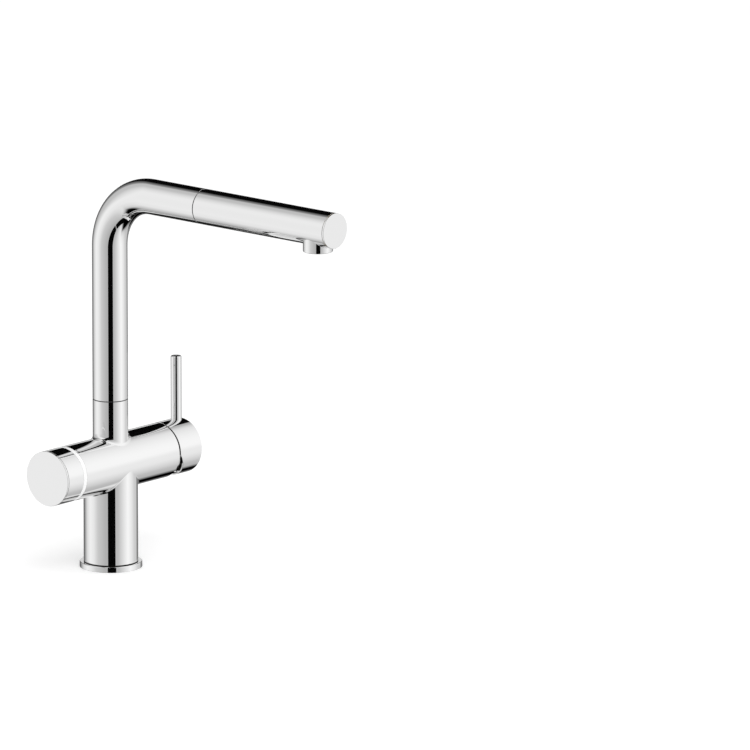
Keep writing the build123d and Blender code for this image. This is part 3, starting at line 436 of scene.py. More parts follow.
def inside_loop(points, loop):
    """Which 2-D points lie inside a closed loop."""
    inside = np.zeros(len(points), bool)
    x, y = points[:, 0], points[:, 1]
    for (x0, y0), (x1, y1) in zip(loop, np.roll(loop, -1, axis=0)):
        crosses = (y0 > y) != (y1 > y)
        if not crosses.any():
            continue
        rise = (y1 - y0) if abs(y1 - y0) > 1e-12 else 1e-12
        inside ^= crosses & (x < (x1 - x0) * (y - y0) / rise + x0)
    return inside


def unrolled(starts, end, angles, radius, steps, holes):
    """Triangulates an unrolled wall with holes. The starts give its lower edge at each angle.

    Holes are loops of (height, angle). Returns the (height, angle) points and the triangles.
    """
    lower = np.column_stack((starts, angles * radius))
    upper = np.column_stack((np.full(len(angles), end), angles * radius))
    shares = np.arange(1, steps) / steps
    left = lower[0] + shares[:, None] * (upper[0] - lower[0])
    right = lower[-1] + shares[:, None] * (upper[-1] - lower[-1])
    outline = np.concatenate([lower, right, upper[::-1], left[::-1]])
    inner = (lower[None, 1:-1] + shares[:, None, None] * (upper - lower)[None, 1:-1]).reshape(-1, 2)
    loops = [np.array(hole, float) * (1.0, radius) for hole in holes]
    for loop in loops:
        gap = np.sqrt(((inner[:, None] - loop[None, ::2]) ** 2).sum(axis=2)).min(axis=1)
        inner = inner[~inside_loop(inner, loop) & (gap > radius * (angles[1] - angles[0]) * 0.7)]
    points = [outline, *loops, inner]
    edges, base = [], 0
    for ring in (outline, *loops):
        edges += [(base + i, base + (i + 1) % len(ring)) for i in range(len(ring))]
        base += len(ring)
    flat = np.concatenate(points)
    found = delaunay_2d_cdt([Vector(p) for p in flat], edges, [], 0, 1e-7)
    places = np.array([tuple(v) for v in found[0]])
    triangles = np.array(found[2])
    middles = places[triangles].mean(axis=1)
    keep = inside_loop(middles, outline)
    for loop in loops:
        keep &= ~inside_loop(middles, loop)
    places[:, 1] /= radius
    return places, triangles[keep]


def wall(skin, axle, radius, starts, end, angles, steps, holes=(), inward=False, shaded=None):
    """A cylinder's wall with holes in it. Where shaded says so of an angle, it takes the second finish, which is where
    painted shade goes.
    """
    starts = np.broadcast_to(np.asarray(starts, float), angles.shape)
    places, triangles = unrolled(starts, end, angles, radius, steps, holes)
    height, angle = places.T
    points = axle.point(radius, height, angle)
    normals = axle.normal(-1.0 if inward else 1.0, 0.0, angle)
    # the shaded angles take the second finish: painted shade
    dark = np.zeros(len(triangles), bool) if shaded is None else shaded(angle[triangles].mean(axis=1))
    for slot, part in ((0, triangles[~dark]), (1, triangles[dark])):
        if len(part):
            skin.add(points, normals, part.tolist(), slot)


def saddle(small, large, blend, side, count, rows=9):
    """The rolled blend where a small upright tube meets a large lying one.

    Returns the blend's points and normals as (along, across, up) from the large axis, first
    row on the small tube and last row on the large one.
    """
    angles = circle_steps(count)
    reach = small + blend
    across = reach * np.sin(angles)
    middle = np.column_stack((reach * np.cos(angles), across, side * np.sqrt((large + blend) ** 2 - across ** 2)))
    on_small = np.column_stack((np.cos(angles), np.sin(angles), np.zeros_like(angles)))
    on_large = middle * (0.0, 1.0, 1.0) / (large + blend)
    opening = np.arccos(np.clip((on_small * on_large).sum(axis=1), -1, 1))
    share = np.linspace(0, 1, rows)[:, None]
    first = (np.sin((1 - share) * opening) / np.sin(opening))[..., None]
    second = (np.sin(share * opening) / np.sin(opening))[..., None]
    normals = first * on_small + second * on_large
    return middle - blend * normals, normals


def inner_faces(skin, node, keep, slot=0):
    """Adds the inner faces of a solid whose middles are kept, shaded smooth across shallow edges."""
    mesh = frame["nodes"][node].data
    points = np.array([v.co for v in mesh.vertices], float) / MM
    rings = points[np.array([list(polygon.vertices) for polygon in mesh.polygons])]
    ways = np.cross(rings[:, 1] - rings[:, 0], rings[:, 2] - rings[:, 0])
    areas = np.linalg.norm(ways, axis=1)
    kept = np.nonzero((areas > 1e-9) & keep(rings.mean(axis=1)))[0]
    rings, ways, areas = rings[kept], ways[kept], areas[kept]
    units = ways / areas[:, None]
    _, place = np.unique(weld_keys(rings.reshape(-1, 3)), axis=0, return_inverse=True)
    place = place.reshape(-1, 3)
    meeting = {}
    for index, corners in enumerate(place):
        for corner in corners:
            meeting.setdefault(int(corner), []).append(index)
    normals = np.zeros((len(kept), 3, 3))
    for index, corners in enumerate(place):
        for k, corner in enumerate(corners):
            near = np.array(meeting[int(corner)])
            near = near[units[near] @ units[index] > SMOOTH_COSINE]
            total = ways[near].sum(axis=0)
            size = np.linalg.norm(total)
            normals[index, k] = total / size if size > 1e-9 else units[index]
    skin.add(rings, normals, np.arange(len(kept) * 3).reshape(-1, 3).tolist(), slot)


def end_disc(name, node, body, axle, radius, start, end, sizes, angles):
    """A flat end disc with a shadow groove round the edge that meets its shell; the groove and the disc's back are
    painted dark as shade.
    """
    skin = Skin()
    disc = rounded([
        (0, start, 0), (radius - GROOVE_DEPTH, start, 0), (radius - GROOVE_DEPTH, start + FACE_GROOVE, 0),
        (radius, start + FACE_GROOVE, millimetres(sizes.edge_round)),
        (radius, end, millimetres(sizes.face_round)), (0, end, 0),
    ])
    # the groove and the back are painted dark as shade
    turned(skin, axle, disc[:3], angles, 1)
    turned(skin, axle, disc[3:], angles)
    inner_faces(skin, node, inside(axle, start - NEAR))
    skin.place(name, ("chrome", "seam_shade"), body, "chrome", node)


def chosen(context):
    """The sizes, the steps round and the seam edge that the operators share."""
    sizes = context.scene.mixer_sizes
    return sizes, circle_steps(sizes.around), millimetres(sizes.edge_round)


# Finishes


class Graph:
    """Adds nodes to a tree. Where a node is given as an input, its first output is linked."""

    def __init__(self, tree):
        self.tree = tree

    def feed(self, socket, value):
        """Links a node or socket, or sets a value."""
        if isinstance(value, bpy.types.Node):
            value = value.outputs[0]
        if isinstance(value, bpy.types.NodeSocket):
            self.tree.links.new(value, socket)
        else:
            socket.default_value = value

    def add(self, kind, inputs=None, **settings):
        """A new node with its settings and inputs. A list feeds one input several times."""
        node = self.tree.nodes.new(kind)
        for name, value in settings.items():
            setattr(node, name, value)
        for key, value in (inputs or {}).items():
            for one in value if isinstance(value, list) else [value]:
                self.feed(node.inputs[key], one)
        return node

    def math(self, operation, *values):
        return self.add("ShaderNodeMath", dict(enumerate(values)), operation=operation)

    def noise(self, place, scale, detail=2.0, distortion=0.0):
        inputs = {"Vector": place, "Scale": scale, "Detail": detail, "Distortion": distortion}
        return self.add("ShaderNodeTexNoise", inputs).outputs["Fac"]

    def place(self):
        return self.add("ShaderNodeTexCoord").outputs["Object"]

    def ramp(self, value, stops):
        """A colour ramp with stops of (position, colour)."""
        node = self.add("ShaderNodeValToRGB", {"Fac": value})
        elements = node.color_ramp.elements
        while len(elements) > 1:
            elements.remove(elements[-1])
        for index, (position, shade) in enumerate(stops):
            element = elements.new(position) if index else elements[0]
            element.position = position
            element.color = (*shade, 1)
        return node


def new_group(name, kind, inputs, outputs):
    """A new node group. Its inputs are (name, type) and, where given, the default, least and greatest value."""
    tree = bpy.data.node_groups.new(name, kind)
    for way, rows in (("INPUT", inputs), ("OUTPUT", outputs)):
        for label, socket_type, *values in rows:
            socket = tree.interface.new_socket(name=label, in_out=way, socket_type="NodeSocket" + socket_type)
            for key, value in zip(("default_value", "min_value", "max_value"), values):
                setattr(socket, key, value)
    graph = Graph(tree)
    return graph, graph.add("NodeGroupInput").outputs, graph.add("NodeGroupOutput").inputs


def srgb(value):
    """The linear value of a grey on the 0 to 255 scale of a picture."""
    value /= 255
    return value / 12.92 if value <= 0.04045 else ((value + 0.055) / 1.055) ** 2.4


def handling_group():
    """Faint wiping marks and a slight waviness, shared by every finish."""
    name = "handling_marks"
    if name in bpy.data.node_groups:
        return bpy.data.node_groups[name]
    graph, given, result = new_group(name, "ShaderNodeTree", (
        ("Place", "Vector"), ("Patch scale", "Float", 18.0), ("Mark scale", "Float", 260.0),
        ("Polished", "Float", 0.02, 0.0, 1.0), ("Worn", "Float", 0.05, 0.0, 1.0),
    ), (("Roughness", "Float"), ("Height", "Float"), ("Mask", "Float")))
    patches = graph.noise(given["Place"], given["Patch scale"], 4.0)
    marks = graph.noise(given["Place"], given["Mark scale"], 6.0, 0.4)
    span = graph.add("ShaderNodeMapRange", {
        "Value": patches, "From Min": 0.38, "From Max": 0.72, "To Min": given["Polished"], "To Max": given["Worn"],
    })
    graph.feed(result["Roughness"], span)
    graph.feed(result["Height"], graph.math("MULTIPLY_ADD", marks, 0.35, patches))
    graph.feed(result["Mask"], patches)
    return graph.tree


def tool_mark_group():
    """Fine rings of a turned or lapped face, as a height and a mask."""
    name = "tool_marks"
    if name in bpy.data.node_groups:
        return bpy.data.node_groups[name]
    graph, given, result = new_group(name, "ShaderNodeTree", (
        ("Place", "Vector"), ("Lines", "Float", 900.0), ("Unevenness", "Float", 3.0),
    ), (("Height", "Float"), ("Mask", "Float")))
    rings = graph.add("ShaderNodeTexWave", {
        "Vector": given["Place"], "Scale": given["Lines"], "Distortion": given["Unevenness"],
        "Detail": 3.0, "Detail Scale": 1.6,
    }, wave_type="BANDS", bands_direction="DIAGONAL")
    graph.feed(result["Height"], rings.outputs["Fac"])
    graph.feed(result["Mask"], graph.noise(given["Place"], 60.0, 5.0))
    return graph.tree


def blank_material(name):
    """A new material and the graph of its empty tree."""
    material = bpy.data.materials.new(name)
    material.use_nodes = True
    material.node_tree.nodes.clear()
    return material, Graph(material.node_tree)


class Finish(Graph):
    """A new material whose shader takes its roughness from the handling group."""

    def __init__(self, name, polished, worn, patches=18.0, marks=260.0):
        super().__init__(blank_material(name)[1].tree)
        self.handled = self.add("ShaderNodeGroup", {
            "Place": self.place(), "Patch scale": patches, "Mark scale": marks, "Polished": polished, "Worn": worn,
        }, node_tree=handling_group()).outputs
        shader = self.add("ShaderNodeBsdfPrincipled", {"Roughness": self.handled["Roughness"]})
        self.add("ShaderNodeOutputMaterial", {"Surface": shader})
        self.shader = shader.inputs

    def tint(self, mask, shade, dark, light):
        """Varies the colour between two tones of a shade by a mask."""
        self.feed(self.shader["Base Color"], self.ramp(mask, ((0.35, toned(shade, dark)), (0.68, toned(shade, light)))))

    def bump(self, height, strength, distance):
        """Feeds a height into the shader's normal."""
        node = self.add("ShaderNodeBump", {"Strength": strength, "Distance": distance, "Height": height})
        self.feed(self.shader["Normal"], node)


def toned(shade, factor):
    """A colour made lighter or darker."""
    return tuple(min(1.0, channel * factor) for channel in shade)


def chrome_finish(name, shade, polished):
    """Mirror chrome on polished brass: wiped, with the faintest waviness."""
    made = Finish(name, polished, polished * 2.2, 22.0, 420.0)
    made.shader["Base Color"].default_value = (*shade, 1)
    made.shader["Metallic"].default_value = 1.0
    made.bump(made.handled["Height"], 0.05, 0.00002)


def turned_metal(name, shade, polished, worn, lines):
    """Bare turned metal with its tool lines and stains."""
    made = Finish(name, polished, worn)
    made.shader["Metallic"].default_value = 1.0
    tools = made.add("ShaderNodeGroup", {"Place": made.place(), "Lines": lines}, node_tree=tool_mark_group())
    made.tint(tools.outputs["Mask"], shade, 0.82, 1.08)
    made.bump(tools.outputs["Height"], 0.12, 0.00004)


def moulded(name, shade, polished, worn, depth, specular=0.5):
    """Moulded plastic, rubber or fired ceramic, with its grain and slight tone changes."""
    made = Finish(name, polished, worn, 35.0, 500.0)
    made.shader["Specular IOR Level"].default_value = specular
    made.tint(made.handled["Mask"], shade, 0.93, 1.04)
    made.bump(made.handled["Height"], depth, 0.0001)


def braid_finish(name, shade, sizes):
    """Two sets of woven strands that wind round the hose, from its own wrap."""
    made = Finish(name, 0.32, 0.5)
    wrap = made.add("ShaderNodeSeparateXYZ", {"Vector": made.add("ShaderNodeUVMap", uv_map="wrap")}).outputs
    strands = sizes.braid_strands * TURN
    along = made.math("MULTIPLY", wrap["Y"], strands / sizes.braid_pitch)
    round_it = made.math("MULTIPLY", wrap["X"], strands)
    right, left = (
        made.math("MULTIPLY_ADD", made.math("SINE", made.math(way, round_it, along)), 0.5, 0.5)
        for way in ("ADD", "SUBTRACT")
    )
    weave = made.math("MAXIMUM", right, left)
    made.shader["Metallic"].default_value = 0.35
    made.tint(weave, shade, 0.25, 1.5)
    made.bump(weave, 0.8, 0.0004)


def finish(slot):
    """The finish of a slot of the record, made on first use."""
    name = slot + "_finish"
    if name not in bpy.data.materials:
        make_finish(slot, name)
    return bpy.data.materials[name]


def make_finish(slot, name):
    """Makes the finish of a slot under the given name."""
    finishes = bpy.context.scene.mixer_finishes
    chrome, braid = finishes.chrome, finishes.braid
    maker, *values = {
        "chrome": (chrome_finish, chrome, finishes.chrome_roughness),
        "dome_chrome": (chrome_finish, chrome, finishes.chrome_roughness),
        "faced_chrome": (turned_metal, toned(chrome, 0.9), 0.3, 0.4, 1500.0),
        "brass": (turned_metal, finishes.brass, 0.16, 0.34, 700.0),
        "steel": (turned_metal, finishes.steel, 0.18, 0.32, 1100.0),
        # painted seam shade: near-black metal put on faces inside seams, grooves and the lever slot, standing in for
        # the shadow that falls there
        "seam_shade": (turned_metal, (0.03, 0.028, 0.025), 0.4, 0.6, 700.0),
        "white_ring": (moulded, finishes.ring_white, 0.12, 0.2, 0.03),
        "ceramic": (moulded, (0.86, 0.84, 0.79), 0.05, 0.12, 0.02),
        "seal_rubber": (moulded, (0.018, 0.018, 0.019), 0.45, 0.7, 0.25, 0.35),
        "inner_plastic": (moulded, (0.80, 0.80, 0.77), 0.3, 0.5, 0.08),
        "dark_plastic": (moulded, (0.022, 0.022, 0.025), 0.3, 0.52, 0.12),
        "aerator_plastic": (moulded, (0.42, 0.43, 0.45), 0.28, 0.45, 0.1),
        "tube_plastic": (moulded, (0.66, 0.74, 0.82), 0.1, 0.25, 0.04),
        "hose_braid": (moulded, toned(braid, 1.3), 0.35, 0.5, 0.3),
        "braid_weave": (braid_finish, braid, bpy.context.scene.mixer_sizes),
    }[slot]
    maker(name, *values)


def place_piece(piece, body, slot, *nodes):
    """Rides a finished piece on its body, in place of its solids."""
    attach(piece, body)
    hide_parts(*nodes)
    return piece


# Pieces


class MIXER_OT_base_flange(bpy.types.Operator):
    """Turns the base flange with its rounded rim, seal groove and centring lip"""

    bl_idname = "mixer.base_flange"
    bl_label = "Base flange"

    def execute(self, context):
        _, angles, edge = chosen(context)
        skin = Skin()
        turned(skin, UPRIGHT, rounded([
            (FLANGE_BORE_R, 0, 0), (SEAL_INNER_R, 0, 0), (SEAL_INNER_R, SEAL_GROOVE, 0),
            (SEAL_OUTER_R, SEAL_GROOVE, 0), (SEAL_OUTER_R, 0, 0), (FLANGE_R, 0, edge),
            (FLANGE_R, FLANGE_TOP, FLANGE_EDGE), (LIP_R, FLANGE_TOP, 0), (LIP_R, LIP_TOP, edge),
            (FLANGE_BORE_R, LIP_TOP, edge),
        ]), angles)
        skin.place("base_flange_shell", ("chrome",), "body", "chrome", "base_flange")
        return {"FINISHED"}


class MIXER_OT_tap_body(bpy.types.Operator):
    """Rolls the column, barrel and riser stub together over their blends"""

    bl_idname = "mixer.tap_body"
    bl_label = "Tap body"

    def execute(self, context):
        sizes, angles, edge = chosen(context)
        skin = Skin()
        holes = []
        for small, blend, side, near in (
            (COLUMN_R, sizes.column_fillet, -1, FLANGE_TOP + FOOT_GROOVE),
            (TUBE_R, sizes.riser_fillet, 1, SWIVEL_LEVEL - edge),
        ):
            points, normals = saddle(small, BARREL_R, millimetres(blend), side, sizes.around)
            skin.grid(points + (0, 0, BARREL_LEVEL), normals)
            holes.append(rim_hole(points, side))
            heights = near + np.linspace(0, 1, 9)[:, None] * (points[0][:, 2] + BARREL_LEVEL - near)
            skin.grid(UPRIGHT.point(small, heights, angles), UPRIGHT.normal(1.0, 0.0, angles))
        wall(skin, TO_LEVER, BARREL_R, -BARREL_LEFT + edge, BARREL_RIGHT - LEVER_GROOVE - BARREL_EDGE,
             circle_steps(sizes.around, -1.5 * math.pi), 56, holes)
        foot = rounded([
            (CHAMBER_R, FLANGE_TOP, 0), (COLUMN_R - GROOVE_DEPTH, FLANGE_TOP, 0),
            (COLUMN_R - GROOVE_DEPTH, FLANGE_TOP + FOOT_GROOVE, 0), (COLUMN_R, FLANGE_TOP + FOOT_GROOVE, 0),
        ])
        # the column's foot groove and the riser stub's end in the swivel seam are painted dark as shade
        turned(skin, UPRIGHT, foot[:3], angles, 2)
        end_face(skin, UPRIGHT, NECK_SOCKET_R, TUBE_R, SWIVEL_LEVEL, edge, angles, 2)
        mouth = rounded([
            (MOUTH_R, BARREL_RIGHT - 1, 0), (BARREL_R, BARREL_RIGHT - 1, 0),
            (BARREL_R, BARREL_RIGHT - LEVER_GROOVE, BARREL_EDGE), (DOME_SEAT_R, BARREL_RIGHT - LEVER_GROOVE, 0),
            (DOME_SEAT_R, BARREL_RIGHT, 0), (MOUTH_R, BARREL_RIGHT, MOUTH_EDGE),
        ])
        # the barrel's mouth inside the lever slot is painted dark as shade
        turned(skin, TO_LEVER, mouth[2:3], angles)
        turned(skin, TO_LEVER, mouth[3:-1], angles, 2)
        end_face(skin, TO_KNOB, RING_SPIGOT_R, BARREL_R, BARREL_LEFT, edge, angles)

        def hidden(middles):
            from_riser, level = UPRIGHT.measure(middles)
            from_barrel, reach = TO_LEVER.measure(middles)
            outer = from_riser > np.where(level > BARREL_LEVEL, TUBE_R - 0.3, COLUMN_R - 0.7)
            outer &= from_barrel > BARREL_R - 0.25
            ends = (level < FLANGE_TOP + NEAR) | (level > SWIVEL_LEVEL - NEAR)
            ends |= (reach > BARREL_RIGHT - NEAR) | (np.abs(reach + BARREL_LEFT) < NEAR)
            return ~(outer | ends)

        inner_faces(skin, "tap_body", hidden, 1)
        skin.place("tap_body_shell", ("chrome", "brass", "seam_shade"), "body", "chrome", "tap_body")
        return {"FINISHED"}


class MIXER_OT_white_ring(bpy.types.Operator):
    """Turns the glossy white ring beside the knob"""

    bl_idname = "mixer.white_ring"
    bl_label = "White ring"

    def execute(self, context):
        _, angles, edge = chosen(context)
        skin = Skin()
        turned(skin, TO_KNOB, rounded([
            (RING_BORE_R, BARREL_LEFT, 0), (BARREL_R, BARREL_LEFT, edge), (BARREL_R, RING_END, edge),
            (RING_BORE_R, RING_END, 0),
        ]), angles)
        skin.place("selector_ring", ("white_ring",), "body", "white_ring", "white_ring")
        return {"FINISHED"}


class MIXER_OT_selector(bpy.types.Operator):
    """Turns the selector's shell and its flat face"""

    bl_idname = "mixer.selector"
    bl_label = "Selector knob"

    def execute(self, context):
        sizes, angles, edge = chosen(context)
        skin = Skin()
        shell = rounded([
            (KNOB_BORE_R, KNOB_START, edge), (BARREL_R, KNOB_START, edge),
            (BARREL_R, KNOB_END - FACE_GROOVE, edge), (BARREL_R - GROOVE_DEPTH, KNOB_END - FACE_GROOVE, 0),
            (BARREL_R - GROOVE_DEPTH, KNOB_END, 0), (KNOB_BORE_R, KNOB_END, 0),
        ])
        turned(skin, TO_KNOB, shell[:6], angles)
        # the groove and the end face in the seam are painted dark as shade
        turned(skin, TO_KNOB, shell[6:-1], angles, 1)
        inner_faces(skin, "selector_knob", inside(TO_KNOB, KNOB_END - NEAR, KNOB_START + NEAR, KNOB_BORE_R + 0.1))
        skin.place("selector_shell", ("chrome", "seam_shade"), "selector", "chrome", "selector_knob")
        end_disc("selector_face", "knob_face", "selector", TO_KNOB, BARREL_R, KNOB_END, KNOB_FACE_END, sizes, angles)
        return {"FINISHED"}


class MIXER_OT_dome(bpy.types.Operator):
    """Turns the domed cover round the lever's pivot"""

    bl_idname = "mixer.dome"
    bl_label = "Domed cover"

    def execute(self, context):
        sizes, angles, _ = chosen(context)
        skin = Skin()
        # the dome's foot band is painted dark as shade inside the lever slot and keeps its chrome where the cut lets
        # light in
        low, high = (round(sizes.around * share) for share in DOME_LIT)
        painted_shade_turns = np.append(angles[high:], angles[1:low + 1])
        inner_r = DOME_R - DOME_WALL
        for radius, first, last, side, around, slot in (
            (DOME_R, 0.0, SEAM_BAND, 1, painted_shade_turns, 1), (DOME_R, 0.0, SEAM_BAND, 1, angles[low:high + 1], 0),
            (DOME_R, SEAM_BAND, DOME_REACH, 1, angles, 0),
            (inner_r, DOME_WALL, DOME_REACH - DOME_WALL, -1, angles, 0),
        ):
            turns = np.linspace(math.asin(first / radius), math.asin(last / radius), 25)
            run = [
                (radius * math.cos(t), BARREL_RIGHT + radius * math.sin(t), side * math.cos(t), side * math.sin(t))
                for t in turns
            ]
            turned(skin, TO_LEVER, [run], around, slot)
        outer_lip = math.sqrt(DOME_R ** 2 - DOME_REACH ** 2)
        inner_lip = math.sqrt(inner_r ** 2 - (DOME_REACH - DOME_WALL) ** 2)
        skirt_in = math.sqrt(inner_r ** 2 - DOME_WALL ** 2)
        for corners in (
            ((outer_lip, DOME_REACH), (DOME_OPENING_R, DOME_REACH), (DOME_OPENING_R, DOME_REACH - DOME_WALL),
             (inner_lip, DOME_REACH - DOME_WALL)),
            ((skirt_in, DOME_WALL), (DOME_SKIRT_R, DOME_WALL), (DOME_SKIRT_R, -DOME_SKIRT),
             (DOME_SKIRT_R + DOME_WALL, -DOME_SKIRT), (DOME_SKIRT_R + DOME_WALL, 0), (DOME_R, 0)),
        ):
            runs = rounded([(radius, BARREL_RIGHT + height, 0) for radius, height in corners])
            turned(skin, TO_LEVER, runs[:-1], angles)
        skin.place("pivot_dome", ("dome_chrome", "seam_shade"), "body", "dome_chrome", "dome_cover")
        return {"FINISHED"}


class MIXER_OT_lever(bpy.types.Operator):
    """Shapes the lever's cap, cut away under its axis, and turns its pin"""

    bl_idname = "mixer.lever"
    bl_label = "Lever"

    def execute(self, context):
        sizes, angles, edge = chosen(context)
        face = millimetres(sizes.face_round)
        skin = Skin()

        def start(radius):
            return LEVER_START + LEVER_GROOVE + np.maximum(0, -radius * np.sin(angles)) * math.tan(CUT_ANGLE)

        # the upper part of the bore is painted dark as shade; the lower part shows through the cut and stays chrome
        def painted_shade_part(around):
            return np.sin(around) > BORE_SHADE_SINE

        height = PIN_PLACE + GRUB_HOLE_R * np.cos(HOLE_TURNS)
        rims = []
        for radius, near, end, inward in (
            (BARREL_R, edge, LEVER_END - face, False), (LEVER_BORE_R, 0.0, LEVER_FACE, True),
        ):
            turn = 1.5 * math.pi + np.arcsin(GRUB_HOLE_R * np.sin(HOLE_TURNS) / radius)
            wall(skin, TO_LEVER, radius, start(radius) + near, end, angles, 16,
                 [np.column_stack((height, turn))], inward, painted_shade_part if inward else None)
            rims.append(TO_LEVER.point(radius, height, turn))
        hole_wall(skin, rims, -np.column_stack((np.cos(HOLE_TURNS), np.sin(HOLE_TURNS), np.zeros(HOLE_STEPS))))
        lower = (np.sin(angles) < -1e-9)[:, None]
        cut = np.where(lower, (-math.cos(CUT_ANGLE), 0.0, -math.sin(CUT_ANGLE)), (-1.0, 0.0, 0.0))
        out = TO_LEVER.out(angles)
        bevel = cut + out
        bevel /= np.linalg.norm(bevel, axis=1)[:, None]
        lip = TO_LEVER.point(BARREL_R, start(BARREL_R) + edge, angles)
        shoulder = TO_LEVER.point(BARREL_R - edge, start(BARREL_R - edge), angles)
        bore = TO_LEVER.point(LEVER_BORE_R, start(LEVER_BORE_R), angles)
        skin.grid(np.stack([lip, shoulder]), np.stack([out * 0.6 + bevel * 0.4, cut * 0.6 + bevel * 0.4]))
        skin.grid(np.stack([shoulder, bore]), cut)
        end_face(skin, TO_LEVER, 0, BARREL_R, LEVER_END, face, angles)
        # the cap's inner faces are painted dark as shade
        inner_faces(skin, "lever_cap", inside(TO_LEVER, LEVER_END - 0.5, radius=LEVER_BORE_R - 0.15), 1)
        skin.place("lever_shell", ("chrome", "seam_shade"), "lever", "chrome", "lever_cap")
        skin = Skin()
        rod = rounded([
            (0, PIN_SEAT, 0), (PIN_R, PIN_SEAT, 0), (PIN_R, PIN_TOP - PIN_CHAMFER, PIN_EDGE),
            (PIN_R - PIN_CHAMFER, PIN_TOP, PIN_EDGE), (0, PIN_TOP, 0),
        ])
        turned(skin, AT_PIN, rod[:-1], angles)
        turned(skin, AT_PIN, rod[-1:], angles, 1)
        inner_faces(skin, "lever_pin", inside(AT_PIN, PIN_SEAT - NEAR))
        skin.place("lever_rod", ("chrome", "faced_chrome"), "lever", "chrome", "lever_pin")
        return {"FINISHED"}


class MIXER_OT_spout(bpy.types.Operator):
    """Bends the spout tube, with its wall and the hole of its set screw"""

    bl_idname = "mixer.spout"
    bl_label = "Spout tube"

    def execute(self, context):
        _, angles, edge = chosen(context)
        skin = Skin()
        bend_start = ARM_LEVEL - BEND_R
        height = SCREW_LEVEL + SCREW_HOLE_R * np.sin(HOLE_TURNS)
        turns = np.linspace(0, math.pi / 2, BEND_STEPS + 1)
        on_bend = np.column_stack((np.zeros(BEND_STEPS + 1), np.cos(turns), np.sin(turns)))
        outward = np.concatenate([on_bend, np.tile(SKYWARD, (ARM_STEPS, 1))])[:, None]
        rims = []
        for radius, near, side in ((TUBE_R, edge, 1), (TUBE_BORE_R, 0.0, -1)):
            turn = np.arccos(SCREW_HOLE_R * np.cos(HOLE_TURNS) / radius)
            wall(skin, UPRIGHT, radius, TUBE_FOOT + near, bend_start, angles, 44,
                 [np.column_stack((height, turn))], side < 0)
            rims.append(UPRIGHT.point(radius, height, turn))
            straight = [(0.0, -reach, ARM_LEVEL) for reach in np.linspace(BEND_R, ARM_END - near, ARM_STEPS + 1)[1:]]
            middles = np.concatenate([(0.0, -BEND_R, bend_start) + BEND_R * on_bend, straight])[:, None]
            ways = np.cos(angles)[:, None] * (1.0, 0.0, 0.0) + np.sin(angles)[:, None] * outward
            skin.grid(middles + radius * ways, side * ways)
        hole_wall(skin, rims, -np.column_stack((np.cos(HOLE_TURNS), np.zeros(HOLE_STEPS), np.sin(HOLE_TURNS))))
        # both end faces sit in seams and are painted dark as shade
        end_face(skin, UPRIGHT, TUBE_BORE_R, TUBE_R, TUBE_FOOT, edge, angles, 1, -1)
        end_face(skin, ALONG_ARM, TUBE_BORE_R, TUBE_R, ARM_END, edge, angles, 1)
        skin.place("spout_shell", ("chrome", "seam_shade"), "spout", "chrome", "spout_tube")
        return {"FINISHED"}


class MIXER_OT_head(bpy.types.Operator):
    """Rolls the pull-out head over its nozzle and turns its end cap"""

    bl_idname = "mixer.head"
    bl_label = "Pull-out head"

    def execute(self, context):
        sizes, angles, edge = chosen(context)
        skin = Skin()
        points, normals = saddle(NOZZLE_R, TUBE_R, millimetres(sizes.nozzle_fillet), -1, sizes.around)
        to_arm = np.array([[0.0, -1.0, 0.0], [1.0, 0.0, 0.0], [0.0, 0.0, 1.0]])
        skin.grid(points @ to_arm + (0, -NOZZLE_PLACE, ARM_LEVEL), normals @ to_arm)
        wall(skin, ALONG_ARM, TUBE_R, HEAD_START + edge, HEAD_FACE - FACE_GROOVE - edge,
             circle_steps(sizes.around, -1.5 * math.pi), 84, [rim_hole(points, -1) + (NOZZLE_PLACE, 0)])
        low = NOZZLE_FOOT + NOZZLE_EDGE
        heights = low + np.linspace(0, 1, 6)[:, None] * (points[0][:, 2] + ARM_LEVEL - low)
        ways = (points[0] * (1, 1, 0) / NOZZLE_R) @ to_arm
        around = np.unwrap(np.arctan2(ways[:, 1], ways[:, 0]))
        skin.grid(AT_NOZZLE.point(NOZZLE_R, heights, around), ways)
        lip = rounded([
            (NOZZLE_BORE_R, NOZZLE_FOOT, NOZZLE_INNER_EDGE), (NOZZLE_R, NOZZLE_FOOT, NOZZLE_EDGE),
            (NOZZLE_R, NOZZLE_FOOT + 1, 0), (NOZZLE_BORE_R, NOZZLE_FOOT + 1, 0),
        ])
        turned(skin, AT_NOZZLE, lip[:3], around)
        shell = rounded([
            (TUBE_BORE_R, HEAD_START, 0), (TUBE_R, HEAD_START, edge), (TUBE_R, HEAD_FACE - FACE_GROOVE, edge),
            (TUBE_R - GROOVE_DEPTH, HEAD_FACE - FACE_GROOVE, 0), (TUBE_R - GROOVE_DEPTH, HEAD_FACE, 0),
            (TUBE_BORE_R, HEAD_FACE, 0),
        ])
        # the end face in the arm's seam and the groove by the end cap are painted dark as shade; the inner faces are
        # bare brass
        turned(skin, ALONG_ARM, [shell[1], shell[3]], angles)
        turned(skin, ALONG_ARM, [shell[0], *shell[4:7]], angles, 2)

        def within(middles):
            from_arm, reach = ALONG_ARM.measure(middles)
            from_nozzle, level = AT_NOZZLE.measure(middles)
            outer = (from_arm > TUBE_R - 0.1) & ((from_nozzle > NOZZLE_R - 0.95) | (level >= ARM_LEVEL))
            ends = (reach < HEAD_START + NEAR) | (reach > HEAD_FACE - NEAR) | (level < NOZZLE_FOOT + 0.2)
            return ~(outer | ends)

        inner_faces(skin, "head_shell", within, 1)
        skin.place("spray_head_shell", ("chrome", "brass", "seam_shade"), "head", "chrome", "head_shell")
        end_disc("spray_head_cap", "head_end_cap", "head", ALONG_ARM, TUBE_R, HEAD_FACE, HEAD_END, sizes, angles)
        return {"FINISHED"}


